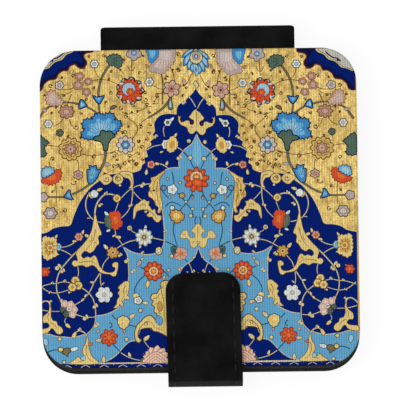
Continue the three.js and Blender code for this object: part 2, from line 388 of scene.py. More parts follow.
def new_block(name, low, high):
    """A cube primitive stretched to the box between two corners."""
    leave_edit_mode()
    bpy.ops.object.select_all(action='DESELECT')
    bpy.ops.mesh.primitive_cube_add(size=1, location=(Vector(low) + Vector(high)) / 2)
    piece = bpy.context.object
    piece.name = name
    piece.scale = Vector(high) - Vector(low)
    bpy.ops.object.transform_apply()
    return piece


print("a piece starts as a stretched cube")

# %% Picking edges and faces
TOUCHING = mm(0.02)
FACING = 0.9
FLAT_FACING = 0.99
CORNER_SEGMENTS = 14


def start_picking(piece, kind):
    """Sets the piece to picking vertices, edges or faces, with nothing picked."""
    leave_edit_mode()
    bpy.context.view_layer.objects.active = piece
    bpy.ops.object.mode_set(mode='EDIT')
    bpy.ops.mesh.select_mode(type=kind)
    bpy.ops.mesh.select_all(action='DESELECT')
    bpy.ops.object.mode_set(mode='OBJECT')


def pick_edges(piece, wanted):
    """Selects the edges for which wanted(end, other_end) is true."""
    start_picking(piece, 'EDGE')
    spots = [vertex.co for vertex in piece.data.vertices]
    for edge in piece.data.edges:
        edge.select = wanted(spots[edge.vertices[0]], spots[edge.vertices[1]])
    bpy.ops.object.mode_set(mode='EDIT')


def pick_faces(piece, wanted):
    """Selects the faces for which wanted(centre, normal) is true."""
    start_picking(piece, 'FACE')
    for polygon in piece.data.polygons:
        polygon.select = wanted(polygon.center, polygon.normal)
    bpy.ops.object.mode_set(mode='EDIT')


def near(value, place):
    return abs(value - place) < TOUCHING


def is_upright(end, other):
    return near(end.x, other.x) and near(end.y, other.y)


print("faces within", round(math.degrees(math.acos(FACING))), "degrees count as facing a way")


# %% Rounding, smoothing and dressing
def smooth(piece, angle=35):
    """Smooth shading, with edges sharper than the angle kept."""
    leave_edit_mode()
    bpy.ops.object.select_all(action='DESELECT')
    piece.select_set(True)
    bpy.context.view_layer.objects.active = piece
    bpy.ops.object.shade_smooth_by_angle(angle=math.radians(angle))


def rounded_slab(name, low, high, corner):
    """A slab whose four upright corners are rounded."""
    piece = new_block(name, low, high)
    pick_edges(piece, is_upright)
    bpy.ops.mesh.bevel(offset=corner, segments=CORNER_SEGMENTS)
    leave_edit_mode()
    return piece


def soften_rim(piece, height, width, steps=3):
    """Rounds the sharp edges that lie at that height."""
    pick_edges(piece, lambda end, other: near(end.z, height) and near(other.z, height))
    bpy.ops.mesh.bevel(offset=width, segments=steps)
    leave_edit_mode()


def dress(piece, finish, slot_name, body, nodes):
    """Gives a finished piece its finish and its body, and hides the CAD nodes that it stands for."""
    piece.data.materials.clear()
    piece.data.materials.append(finish)
    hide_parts(*nodes)
    if body:
        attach(piece, body)
    print(piece.name, len(piece.data.polygons), "faces")


print("rounded corners have", CORNER_SEGMENTS, "steps")

# %% [markdown]
# ## Suede round the covers
# On the real mirror a suede strip is glued round each cover's edge. It is a ring with softly
# rounded rims. A rounded slab, inset on both sides and bridged through, gives the ring. A
# boolean then cuts the room for the leather bands, which leave the covers there.

# %% Edge wraps
RIM_SOFTNESS = mm(0.35)
TONGUE_PLAY = mm(0.3)
CUT_MARGIN = mm(0.6)


def hollow_out(piece, wall):
    """Opens a slab from top to bottom and leaves a wall round it."""
    pick_faces(piece, lambda centre, normal: abs(normal.z) > FACING)
    bpy.ops.mesh.inset(thickness=wall)
    bpy.ops.mesh.delete(type='FACE')
    bpy.ops.mesh.select_mode(type='EDGE')
    bpy.ops.mesh.select_non_manifold()
    bpy.ops.mesh.bridge_edge_loops()
    leave_edit_mode()


def cut_away(piece, cutter):
    """Takes the cutter's shape out of a piece and drops the cutter."""
    modifier = piece.modifiers.new("room", 'BOOLEAN')
    modifier.object = cutter
    modifier.operation = 'DIFFERENCE'
    modifier.solver = 'EXACT'
    bpy.context.view_layer.objects.active = piece
    bpy.ops.object.modifier_apply(modifier=modifier.name)
    bpy.data.objects.remove(cutter)


def cut_tongue_room(ring, band, outward):
    """Opens the ring where a band of leather and lining leaves the cover."""
    leather_low, leather_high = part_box(f"{band}_leather")
    lining_low, lining_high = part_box(f"{band}_lining")
    low = Vector((leather_low.x - TONGUE_PLAY, leather_low.y, min(leather_low.z, lining_low.z)))
    high = Vector((leather_high.x + TONGUE_PLAY, leather_high.y, max(leather_high.z, lining_high.z)))
    if outward > 0:
        high.z += CUT_MARGIN
    else:
        low.z -= CUT_MARGIN
    cut_away(ring, new_block("cutter", low, high))


def edge_wrap(cover_name, bands, outward):
    """The suede ring of a cover, with room for the bands that leave it."""
    node = f"{cover_name}_edge_wrap"
    low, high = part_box(node)
    ring = rounded_slab(f"{cover_name}_suede_edge", low, high, cover_corner)
    hollow_out(ring, wrap_thickness)
    soften_rim(ring, low.z if outward > 0 else high.z, RIM_SOFTNESS)
    for band in bands:
        cut_tongue_room(ring, band, outward)
    smooth(ring)
    dress(ring, black_suede, "black_suede", f"{cover_name}_cover", [node])


edge_wrap("front", ["hinge_front"], outward=1)
edge_wrap("back", ["hinge_back", "strap_root"], outward=-1)

# %% [markdown]
# ## Back skin and inner linings
# The back is one piece of suede with a turned edge. Inside, each mirror sits behind a thin
# suede frame that laps over the glass. The skin is a rounded slab with a soft rim. The
# frames are the same slab with a window cut through and the rims of their shown face softened.

# %% Back skin
SKIN_SOFTNESS = mm(0.5)

back_skin = rounded_slab("back_suede_skin", *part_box("back_skin"), cover_corner)
soften_rim(back_skin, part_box("back_skin")[0].z, SKIN_SOFTNESS, steps=4)
smooth(back_skin)
dress(back_skin, black_suede, "black_suede", "back_cover", ["back_skin"])

# %% Inner linings
GLASS_LAP = mm(1.5)
WINDOW_CORNER = mm(3.5)
LINING_SOFTNESS = mm(0.18)


def lining_frame(cover_name):
    """The suede frame inside a cover, with a window that laps over the glass."""
    low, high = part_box(f"{cover_name}_lining")
    glass_low, glass_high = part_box(f"{cover_name}_mirror_glass")
    inner_corner = cover_corner - wrap_thickness
    frame_piece = rounded_slab(f"{cover_name}_mirror_lining", low, high, inner_corner)
    window_low = Vector((glass_low.x + GLASS_LAP, glass_low.y + GLASS_LAP, low.z - CUT_MARGIN))
    window_high = Vector((glass_high.x - GLASS_LAP, glass_high.y - GLASS_LAP, high.z + CUT_MARGIN))
    cut_away(frame_piece, rounded_slab("cutter", window_low, window_high, WINDOW_CORNER))
    shown_height = high.z if cover_name == "back" else low.z
    soften_rim(frame_piece, shown_height, LINING_SOFTNESS)
    smooth(frame_piece)
    dress(frame_piece, lining_suede, "lining_suede", f"{cover_name}_cover", [f"{cover_name}_lining"])


lining_frame("back")
lining_frame("front")

# %% [markdown]
# ## Bands that fold
# The hinge band and the strap are each leather with a thin lining, glued into the covers and
# folded round the edge. The outer and inner layers turn about the same line, so a spin of
# each layer's end face gives the fold, and an extrusion goes on down the edge. A band crosses
# two folds, so it is made as two lengths that meet in the middle of the upright part.

# %% Folded bands
FOLD_INNER_RADIUS = mm(0.3)
FOLD_STEPS = 8
BAND_EDGE = mm(0.14)
SHARP_EDGE = math.radians(60)
BAND_SMOOTHING = 50
LAYER_FINISHES = {
    "leather": (black_suede, "black_suede"),
    "lining": (lining_suede, "lining_suede"),
}


def layers_thickness(band):
    """Thickness of a band's leather and lining together."""
    heights = [corner.z for layer in LAYER_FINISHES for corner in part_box(f"{band}_{layer}")]
    return max(heights) - min(heights)


def fold_over(piece, way_y, way_z, outer_face, band_thickness, seam_height):
    """Folds the piece's end from flat to upright and runs it on to the seam.

    way_y is the side on which the band leaves the cover, and way_z where the upright part
    goes. outer_face is the height of the band's outer face. The fold turns about one line for
    all layers, so that they stay against each other.
    """
    end_place = max(way_y * vertex.co.y for vertex in piece.data.vertices) * way_y
    turn_height = outer_face + way_z * (band_thickness + FOLD_INNER_RADIUS)
    pick_faces(piece, lambda centre, normal: normal.y * way_y > FACING and near(centre.y, end_place))
    bpy.ops.mesh.spin(
        steps=FOLD_STEPS, angle=-way_y * way_z * math.pi / 2,
        center=(0, end_place, turn_height), axis=(1, 0, 0),
    )
    bpy.ops.mesh.extrude_region_move(
        TRANSFORM_OT_translate={"value": (0, 0, seam_height - turn_height)},
    )
    leave_edit_mode()
    return Vector((0, end_place, turn_height))


def soften_band(piece, seam_height, width=BAND_EDGE):
    """Rounds every sharp edge of a band length but those at the meeting line."""
    leave_edit_mode()
    bm = bmesh.new()
    bm.from_mesh(piece.data)
    sharp = set()
    for edge in bm.edges:
        at_seam = all(near(vertex.co.z, seam_height) for vertex in edge.verts)
        if edge.calc_face_angle(0) > SHARP_EDGE and not at_seam:
            sharp.add(frozenset(vertex.index for vertex in edge.verts))
    bm.free()
    start_picking(piece, 'EDGE')
    for edge in piece.data.edges:
        edge.select = frozenset(edge.vertices) in sharp
    bpy.ops.object.mode_set(mode='EDIT')
    bpy.ops.mesh.bevel(offset=width, segments=2)
    leave_edit_mode()


def bend_at(piece):
    """Bakes a band length's transform into its mesh."""
    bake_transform(piece)


print("a fold turns in", FOLD_STEPS, "steps round a radius of", FOLD_INNER_RADIUS / MM, "mm")

# %% Hinge band
HINGE_SLACK = mm(0.3)
HINGE_CORNER = mm(0.9)
LEATHER_EDGE = mm(0.34)

hinge_seam = (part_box("hinge_spine_leather")[0].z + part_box("hinge_spine_leather")[1].z) / 2
hinge_thickness = layers_thickness("hinge_front")
hinge_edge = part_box("hinge_spine_leather")[1].y + HINGE_SLACK
hinge_turn_y = hinge_edge - hinge_thickness - FOLD_INNER_RADIUS


def round_corners(piece):
    """Draws the piece in towards the hinge edge, in a quarter circle seen from above."""
    leave_edit_mode()
    half_width = max(vertex.co.x for vertex in piece.data.vertices)
    for vertex in piece.data.vertices:
        reach = vertex.co.y - hinge_edge + HINGE_CORNER
        if reach > 0:
            inset = HINGE_CORNER - math.sqrt(max(0.0, HINGE_CORNER ** 2 - reach ** 2))
            vertex.co.x *= 1 - inset / half_width


def hinge_length(name, cover_name, layer, way_z):
    """One layer of the hinge band, from its cover to the middle of the spine."""
    low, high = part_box(f"hinge_{cover_name}_{layer}")
    high.y = hinge_turn_y
    outer_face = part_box(f"hinge_{cover_name}_leather")[1 if way_z < 0 else 0].z
    piece = new_block(name, low, high)
    turn_line = fold_over(piece, 1, way_z, outer_face, hinge_thickness, hinge_seam)
    soften_band(piece, hinge_seam, LEATHER_EDGE if layer == "leather" else BAND_EDGE)
    round_corners(piece)
    smooth(piece, BAND_SMOOTHING)
    nodes = [f"hinge_{cover_name}_{layer}", f"hinge_spine_{layer}"]
    dress(piece, *LAYER_FINISHES[layer], None, nodes)
    bend_at(piece)


for cover_name, way_z in (("front", -1), ("back", 1)):
    hinge_length(f"hinge_{cover_name}_band", cover_name, "leather", way_z)
    hinge_length(f"hinge_{cover_name}_inner_band", cover_name, "lining", way_z)

# %% [markdown]
# ## Strap
# The strap is glued into the back cover, stands up against the edge and lies on the print.
# Its tip holds a magnet in a raised pad, with a thin sewn rim round it. The photograph shows
# the strap a little askew, as hand-folded leather is. Insets of the top face raise the pad,
# one inset from below opens the pocket, and a small turn about the root sets it askew.

# %% Strap measures
STRAP_SKEW = math.radians(1.1)
STRAP_SLIP = mm(0.08)
SKEW_START = mm(0.05)
TIP_RADIUS = mm(4.5)
TIP_STEPS = 12
RIM_WIDTH = mm(2.2)
PAD_STEPS = [(mm(0.35), mm(0.42)), (mm(0.3), mm(0.2)), (mm(0.5), mm(0.1)), (mm(0.8), mm(0.03))]
POCKET_INSET = mm(2.6)
POCKET_DEPTH = mm(0.72)

bridge_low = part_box("strap_bridge_leather")[0]
bridge_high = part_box("strap_bridge_leather")[1]
flap_low, flap_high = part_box("strap_flap_lining")
strap_thickness = layers_thickness("strap_root")
strap_turn_y = bridge_low.y + strap_thickness + FOLD_INNER_RADIUS
strap_seam = (bridge_low.z + bridge_high.z) / 2
strap_middle = Vector(((flap_low.x + flap_high.x) / 2 + STRAP_SLIP, strap_turn_y, 0))
root_leather_low, root_leather_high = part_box("strap_root_leather")
root_lining_low, root_lining_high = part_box("strap_root_lining")
rim_low = flap_high.z
rim_high = rim_low + root_leather_high.z - root_leather_low.z
print("strap", round((flap_high.x - flap_low.x) / MM, 2), "mm wide, folds at y", round(strap_turn_y / MM, 2))


# %% Strap lengths
def set_askew(piece):
    """Turns all that lies beyond the fold by the strap's small skew."""
    start_picking(piece, 'VERT')
    for vertex in piece.data.vertices:
        vertex.select = vertex.co.y > strap_turn_y + SKEW_START
    bpy.ops.object.mode_set(mode='EDIT')
    bpy.ops.transform.rotate(value=-STRAP_SKEW, orient_axis='Z', center_override=strap_middle)
    leave_edit_mode()


def round_tip(piece):
    tip = flap_high.y
    pick_edges(piece, lambda end, other: is_upright(end, other) and near(end.y, tip))
    bpy.ops.mesh.bevel(offset=TIP_RADIUS, segments=TIP_STEPS)
    leave_edit_mode()


def strap_length(name, low, high, way_z, outer_face):
    slip = Vector((STRAP_SLIP, 0, 0))
    piece = new_block(name, Vector(low) + slip, Vector(high) + slip)
    if way_z < 0:
        round_tip(piece)
    turn_line = fold_over(piece, -1, way_z, outer_face, strap_thickness, strap_seam)
    soften_band(piece, strap_seam)
    return piece, turn_line


def finish_strap(piece, part, layer):
    """Smooths and dresses a length of the strap's flap or root, and bakes its transform."""
    if part == "flap":
        set_askew(piece)
    smooth(piece, BAND_SMOOTHING)
    dress(piece, *LAYER_FINISHES[layer], None, [f"strap_{part}_{layer}", f"strap_bridge_{layer}"])
    bend_at(piece)


def lies_flat(centre, height):
    """Whether a face lies on the cover at that height, and not in the fold."""
    return near(centre.z, height) and centre.y > strap_turn_y


print("the strap is turned by", round(math.degrees(STRAP_SKEW), 2), "degrees")

# %% Strap leather with its raised pad
flap_leather, flap_turn = strap_length(
    "strap_flap_suede", (flap_low.x, strap_turn_y, rim_low), (*flap_high.xy, rim_high), -1, rim_high,
)
pick_faces(flap_leather, lambda centre, normal: normal.z > FLAT_FACING and lies_flat(centre, rim_high))
bpy.ops.mesh.inset(thickness=RIM_WIDTH - BAND_EDGE)
for pad_inset, pad_rise in PAD_STEPS:
    bpy.ops.mesh.inset(thickness=pad_inset, depth=pad_rise)
pick_faces(flap_leather, lambda centre, normal: normal.z < -FLAT_FACING and lies_flat(centre, rim_low))
bpy.ops.mesh.inset(thickness=POCKET_INSET - BAND_EDGE)
bpy.ops.mesh.extrude_region_move(TRANSFORM_OT_translate={"value": (0, 0, POCKET_DEPTH)})
finish_strap(flap_leather, "flap", "leather")

# %% Strap lining and the strap's root
flap_lining, lining_turn = strap_length(
    "strap_flap_inner", (flap_low.x, strap_turn_y, flap_low.z), flap_high, -1, rim_high,
)
finish_strap(flap_lining, "flap", "lining")

root_outer = root_leather_low.z
root_leather, root_turn = strap_length(
    "strap_root_suede", (root_leather_low.x, strap_turn_y, root_outer), root_leather_high, 1, root_outer,
)
finish_strap(root_leather, "root", "leather")
root_lining, root_lining_turn = strap_length(
    "strap_root_inner", (root_lining_low.x, strap_turn_y, root_lining_low.z), root_lining_high, 1,
    root_outer,
)
finish_strap(root_lining, "root", "lining")

# %% [markdown]
# ## Stitches
# Two rows of stitches run up the strap. A stitch is a short thick thread whose ends dive into
# the leather. One is shaped from a cylinder, then an Array modifier repeats it down the row.

# %% Stitches
STITCH_LENGTH = mm(2.1)
STITCH_PITCH = mm(3.05)
STITCH_RADIUS = mm(0.17)
STITCH_TAIL = mm(0.35)
STITCH_DIP = mm(0.24)
STITCH_INSET = mm(1.8)
STITCH_TAPERS = (0.75, 0.45)
STITCH_SMOOTHING = 60


def one_stitch(name):
    """A stitch along Y, with its upper end at the origin."""
    leave_edit_mode()
    bpy.ops.object.select_all(action='DESELECT')
    straight = STITCH_LENGTH - 2 * STITCH_TAIL
    bpy.ops.mesh.primitive_cylinder_add(
        vertices=10, radius=STITCH_RADIUS, depth=straight,
        location=(0, -STITCH_LENGTH / 2, 0), rotation=(math.pi / 2, 0, 0),
    )
    stitch = bpy.context.object
    stitch.name = name
    bpy.ops.object.transform_apply()
    for way in (1, -1):
        pick_faces(stitch, lambda centre, normal: normal.y * way > FACING)
        for share in STITCH_TAPERS:
            bpy.ops.mesh.extrude_region_move(
                TRANSFORM_OT_translate={"value": (0, way * STITCH_TAIL / 2, -STITCH_DIP / 2)},
            )
            bpy.ops.transform.resize(value=(share, 1, share))
    leave_edit_mode()
    return stitch


def stitch_row(name, count, place, turned):
    """A row of stitches that starts at a place and runs down the strap."""
    row = one_stitch(name)
    repeat = row.modifiers.new("repeat", 'ARRAY')
    repeat.count = count
    repeat.use_relative_offset = False
    repeat.use_constant_offset = True
    repeat.constant_offset_displace = (0, -STITCH_PITCH, 0)
    bpy.ops.object.modifier_apply(modifier=repeat.name)
    if turned:
        row.rotation_euler = (math.pi / 2, 0, 0)
    row.location = place
    bpy.ops.object.select_all(action='DESELECT')
    row.select_set(True)
    bpy.ops.object.transform_apply()
    smooth(row, STITCH_SMOOTHING)
    return row


print("stitches of", STITCH_LENGTH / MM, "mm repeat every", STITCH_PITCH / MM, "mm")

# %% Rows of stitches
FLAP_STITCHES = 8
BRIDGE_STITCHES = 3
FIRST_STITCH = mm(2.0)

strap_half = (flap_high.x - flap_low.x) / 2 - STITCH_INSET
bridge_first = strap_seam + BRIDGE_STITCHES * STITCH_PITCH / 2
for side_name, side in (("left", -1), ("right", 1)):
    row_x = strap_middle.x + side * strap_half
    flap_first = (row_x, flap_high.y - FIRST_STITCH, rim_high)
    flap_row = stitch_row(f"strap_flap_stitches_{side_name}", FLAP_STITCHES, flap_first, False)
    set_askew(flap_row)
    dress(flap_row, waxed_thread, "thread", "strap_flap", [f"strap_thread_{side_name}"])
    bridge_place = (row_x, bridge_low.y, bridge_first)
    bridge_row = stitch_row(f"strap_bridge_stitches_{side_name}", BRIDGE_STITCHES, bridge_place, True)
    dress(bridge_row, waxed_thread, "thread", "strap_bridge", [])

# %% [markdown]
# ## The print
# The front is canvas printed with a Persian illumination: a stepped lapis medallion on gold,
# a turquoise field inside it, and vines, palmettes and blossoms over all three. It is drawn
# as a painter would lay it down, one flat shape on top of another, in millimetres from the
# middle of the panel. Only the left half is written down. The photograph shows the right half
# as its mirror image with a small shift, which is the rule below.

# %% The mirrored half
RIGHT_SHRINK_X = 0.987
RIGHT_SHIFT_X = -0.92
RIGHT_SHRINK_Y = 0.99
RIGHT_SHIFT_Y = -0.125
RIGHT_SLOPE = 0.006

painted_shapes = []


def mirrored(point):
    x, y = point
    right_y = RIGHT_SHRINK_Y * y + RIGHT_SLOPE * x + RIGHT_SHIFT_Y
    return RIGHT_SHIFT_X - RIGHT_SHRINK_X * x, right_y


print("a point 10 mm to the left is mirrored to x", round(mirrored((-10, 0))[0], 2), "mm")

# %% [markdown]
# A shape is given by a few points. A smooth curve runs through them, and a point given twice
# makes a corner. The same outline moved outwards gives the dark line round the shape, and
# drawn in it gives the lighter middle.

# %% Smooth outlines
OUTLINE_STEPS = 3
TOOTHED_STEPS = 4


def spline_value(a, b, c, d, t):
    """Catmull-Rom between b and c."""
    bend = (2 * a - 5 * b + 4 * c - d) * t ** 2 + (3 * b - a - 3 * c + d) * t ** 3
    return 0.5 * (2 * b + (c - a) * t + bend)


def smooth_run(points, steps):
    """A curve through an open run of points."""
    if len(points) < 3:
        return list(points)
    ends = [points[0], *points, points[-1]]
    run = []
    for before, start, stop, after in zip(ends, ends[1:], ends[2:], ends[3:]):
        for step in range(steps):
            numbers = zip(before, start, stop, after)
            run.append(tuple(spline_value(*four, step / steps) for four in numbers))
    run.append(points[-1])
    return run


def smooth_loop(points, steps=OUTLINE_STEPS):
    """A closed curve through the points. A point given twice is a corner."""
    corners = [index for index in range(len(points)) if points[index] == points[index - 1]]
    if not corners:
        long_run = smooth_run([*points[-2:], *points, *points[:2]], steps)
        return long_run[2 * steps:(2 + len(points)) * steps]
    turned = points[corners[0]:] + points[:corners[0]]
    loop = []
    run = []
    for point in turned + turned[:1]:
        if run and point == run[-1]:
            loop += smooth_run(run, steps)[:-1]
            run = []
        run.append(point)
    return loop + smooth_run(run, steps)[:-1]


def counterclockwise(loop):
    area = sum(a[0] * b[1] - b[0] * a[1] for a, b in zip(loop, loop[1:] + loop[:1]))
    return loop if area > 0 else loop[::-1]


def grown(loop, width):
    """The outline moved outwards all round."""
    moved = []
    for index, (x, y) in enumerate(loop):
        ax, ay = loop[index - 1]
        bx, by = loop[(index + 1) % len(loop)]
        length = math.hypot(bx - ax, by - ay) or 1
        moved.append((x + width * (by - ay) / length, y - width * (bx - ax) / length))
    return moved


def shrunk(loop, share):
    """The outline drawn in towards its middle."""
    middle_x = sum(x for x, y in loop) / len(loop)
    middle_y = sum(y for x, y in loop) / len(loop)
    return [(middle_x + share * (x - middle_x), middle_y + share * (y - middle_y)) for x, y in loop]


print("a triangle becomes a loop of", len(smooth_loop([(0, 0), (2, 0), (1, 2)])), "points")


# %% Shapes and their outlines
def paint(colour, loop, sides):
    """Lays a shape on the print, and its mirror image on the right half."""
    painted_shapes.append((colour, counterclockwise(loop)))
    if sides:
        painted_shapes.append((colour, counterclockwise([mirrored(point) for point in loop])))


def whole(points):
    """A left-half outline closed with its mirror image."""
    return points + [mirrored(point) for point in reversed(points)]


def outlined(colour, loop, line, ink, sides=True, inner=None, share=0.6):
    """A shape with a dark line round it and, if asked, a second colour inside."""
    loop = counterclockwise(loop)
    if line:
        paint(ink, grown(loop, line), sides)
    paint(colour, loop, sides)
    if inner:
        paint(inner, shrunk(loop, share), sides)


def motif(colour, points, line=0.17, ink="ink", inner=None, share=0.55, sides=True):
    """A smooth leaf, bud or scroll."""
    outlined(colour, smooth_loop(points), line, ink, sides, inner, share)


print("the print has", len(painted_shapes), "shapes so far")

# %% Stems, curls and rays
CURL_STEP = 30
CURL_TIGHTENING = 0.55
CURL_BEAD = 1.1


def vine(colour, width, points, tip, steps=5, sides=True):
    """A stem through the points, narrower at its end by the tip share."""
    run = smooth_run(points, steps)
    left = []
    right = []
    for index, (x, y) in enumerate(run):
        ax, ay = run[max(index - 1, 0)]
        bx, by = run[min(index + 1, len(run) - 1)]
        length = math.hypot(bx - ax, by - ay) or 1
        half = width / 2 * (1 - (1 - tip) * index / (len(run) - 1))
        left.append((x - half * (by - ay) / length, y + half * (bx - ax) / length))
        right.append((x + half * (by - ay) / length, y - half * (bx - ax) / length))
    paint(colour, left + right[::-1], sides)


def curl(colour, width, x, y, radius, start, turn, sides=True):
    """A stem end that rolls up from the start angle round its middle."""
    count = max(6, int(abs(turn) / CURL_STEP))
    points = []
    for step in range(count + 1):
        angle = math.radians(start + turn * step / count)
        reach = radius * (1 - CURL_TIGHTENING * step / count)
        points.append((x + reach * math.cos(angle), y + reach * math.sin(angle)))
    vine(colour, width, points, 0.7, 1, sides)
    paint(colour, petal_ring(*points[-1], CURL_BEAD * width, 3, 0, fine=2), sides)


def rays(colour, width, x, y, near_end, far_end, first, last, count, sides=True):
    """Short lines round a point, from the first to the last angle."""
    for step in range(count):
        angle = math.radians(first + (last - first) * step / (count - 1))
        ends = [(x + reach * math.cos(angle), y + reach * math.sin(angle)) for reach in (near_end, far_end)]
        vine(colour, width, ends, 0.5, 1, sides)


print("a curl adds a point every", CURL_STEP, "degrees")

# %% Flowers
INK_DENT_SHARE = 0.8
HEART_LINE = 0.1
HEART_POINTS = 8
CORE_POINTS = 6


def petal_ring(x, y, radius, count, dent, turn=0.0, fine=4, wide=1.0):
    """The outline of a flower with that many petals."""
    loop = []
    for step in range(count * fine):
        angle = 2 * math.pi * step / (count * fine)
        reach = radius * (1 - dent * (1 - abs(math.cos(count * angle / 2))))
        turned = angle + math.radians(turn)
        loop.append((x + wide * reach * math.cos(turned), y + reach * math.sin(turned)))
    return loop


def rosette(x, y, size, count, dent, petal, heart=None, core=None, turn=0.0, line=0.22, ink="ink",
            heart_share=0.42, core_share=0.2, wide=1.0, sides=True):
    """A blossom seen from above. The size is its diameter."""
    radius = size / 2
    paint(ink, petal_ring(x, y, radius + line, count, dent * INK_DENT_SHARE, turn, wide=wide), sides)
    paint(petal, petal_ring(x, y, radius, count, dent, turn, wide=wide), sides)
    if heart:
        reach = radius * heart_share
        paint(ink, petal_ring(x, y, reach + HEART_LINE, HEART_POINTS, 0.1, turn, 2, wide), sides)
        paint(heart, petal_ring(x, y, reach, HEART_POINTS, 0.1, turn, 2, wide), sides)
    if core:
        paint(core, petal_ring(x, y, radius * core_share, CORE_POINTS, 0.05, turn, 2, wide), sides)


print("a ring of 5 petals has", len(petal_ring(0, 0, 1, 5, 0.3)), "points")

# %% Leaves
LEAF_POINTS = 8
LEAF_TAPER = 0.35
VEIN_WIDTH = 0.17
TOOTH_POINTS = 2


def toothed(points, tooth, depth):
    """A smooth outline with sharp teeth all round, of that length and depth."""
    loop = counterclockwise(smooth_loop(points, TOOTHED_STEPS))
    ends = loop[1:] + loop[:1]
    length = sum(math.dist(a, b) for a, b in zip(loop, ends))
    count = TOOTH_POINTS * max(3, round(length / tooth))
    moved = []
    travelled = 0.0
    for (ax, ay), (bx, by) in zip(loop, ends):
        piece = math.dist((ax, ay), (bx, by)) or 1e-9
        while len(moved) < count and length * len(moved) / count <= travelled + piece:
            share = (length * len(moved) / count - travelled) / piece
            push = depth * abs(math.sin(math.pi * len(moved) / TOOTH_POINTS)) / piece
            x = ax + share * (bx - ax) + push * (by - ay)
            moved.append((x, ay + share * (by - ay) - push * (bx - ax)))
        travelled += piece
    return moved


def feathered(colour, points, tooth, depth, line, ink="ink", inner=None, share=0.6):
    """A leaf or petal group with a toothed edge."""
    outlined(colour, toothed(points, tooth, depth), line, ink, True, inner, share)


def leaf(colour, x, y, length, turn, wide=0.5, line=0.14, ink="ink"):
    """A small leaf or bud that points the way of turn, in degrees."""
    way_x = math.cos(math.radians(turn))
    way_y = math.sin(math.radians(turn))
    loop = []
    for step in range(LEAF_POINTS):
        angle = 2 * math.pi * step / LEAF_POINTS
        along = length / 2 * math.cos(angle)
        across = wide * length / 2 * math.sin(angle) * (1 - LEAF_TAPER * math.cos(angle))
        loop.append((x + along * way_x - across * way_y, y + along * way_y + across * way_x))
    outlined(colour, loop, line, ink)


def scroll(points, veins, colour="pale gold", line=0.16, ink="umber", sides=True):
    """A lobed scroll of acanthus with dark veins."""
    outlined(colour, smooth_loop(points), line, ink, sides)
    for vein in veins:
        vine("umber", VEIN_WIDTH, vein, 0.5, 3, sides)


print("a leaf has", LEAF_POINTS, "points")

# %% [markdown]
# ## The painter's colours
# Each colour is a screen value from 0 to 255 and has a plain name. One change here alters
# every shape that is painted with it.

# %% Colours
COLOURS = {
    "gold": (247, 221, 141), "pale gold": (234, 210, 136), "deep gold": (212, 162, 82),
    "umber": (84, 54, 36), "brown": (150, 112, 70), "ink": (30, 30, 36), "lapis": (4, 30, 110),
    "night": (14, 18, 62), "wine": (104, 44, 36), "turquoise": (101, 169, 212), "sky": (120, 188, 226),
    "azure": (66, 140, 204), "pale blue": (166, 208, 226), "teal": (38, 84, 110), "lilac": (190, 173, 170),
    "pale lilac": (214, 202, 198), "white": (226, 236, 234), "pink": (210, 172, 154),
    "rose": (192, 142, 124), "red": (220, 86, 48), "orange": (230, 122, 62), "green": (84, 112, 98),
    "sage": (112, 114, 92), "stem": (116, 108, 86), "cream": (226, 210, 158), "vine": (212, 201, 164),
    "mist": (172, 176, 178), "grey": (200, 202, 196), "side": (70, 56, 40), "blush": (244, 210, 190),
    "ochre": (226, 190, 108),
}


def box_loop(x0, y0, x1, y1):
    return [(x0, y0), (x1, y0), (x1, y1), (x0, y1)]


print(len(COLOURS), "colours")

# %% [markdown]
# ## Three fields
# Such an illumination is built from large fields: a gold ground with lapis corners, a stepped
# lapis medallion on it, and a turquoise field and small cartouches in that. Each outline runs
# out from the middle line and is closed with its mirror image, so that both halves meet.

# %% The three fields
paint("gold", box_loop(-41, -41.5, 41, 41.5), sides=False)
motif("night", [(-41, 30.2), (-39.6, 30.6), (-39, 32), (-37.7, 33.1), (-36, 33.4), (-35.3, 34.7),
    (-34, 35.5), (-33, 35.5), (-32.4, 36.6), (-31, 37.1), (-30.3, 36.4), (-29.4, 36), (-28.5, 36.5),
    (-28.2, 37.5), (-28.8, 38.5), (-28.9, 39.3), (-28, 40), (-26.6, 40.2), (-26.4, 41.2), (-26.4, 41.2),
    (-41, 41.2), (-41, 41.2), (-41, 30.2)], line=0.3, ink="wine")
motif("lapis", [(-41, 31.6), (-39.6, 32.4), (-37.8, 33.9), (-36.2, 34.4), (-34.8, 36), (-33, 36.4),
    (-31.4, 37.8), (-30, 37.6), (-29.3, 37.2), (-28.9, 37.8), (-29.7, 39.2), (-30.6, 41), (-30.6, 41),
    (-41, 41), (-41, 41)], line=0)
motif("pale gold", [(-41, 35.4), (-39, 35.8), (-37.6, 36.1), (-36.2, 37.5), (-34.3, 38.2), (-33.2, 39.4),
    (-31.6, 40.1), (-31, 41), (-31, 41), (-41, 41), (-41, 41)], line=0.1)
motif("grey", [(-41, 35.8), (-39, 36.1), (-37.9, 36.4), (-36.4, 37.8), (-34.6, 38.5), (-33.6, 39.6),
    (-32, 40.4), (-32, 41), (-32, 41), (-41, 41), (-41, 41)], line=0.12)
vine("ink", 0.35, [(-37.5, 37.6), (-36.6, 38.4), (-35.6, 38.6), (-34.4, 39.4), (-33.6, 40.2)], 1)
rosette(-36.8, 38, 0.8, 5, 0.3, "ink", line=0)

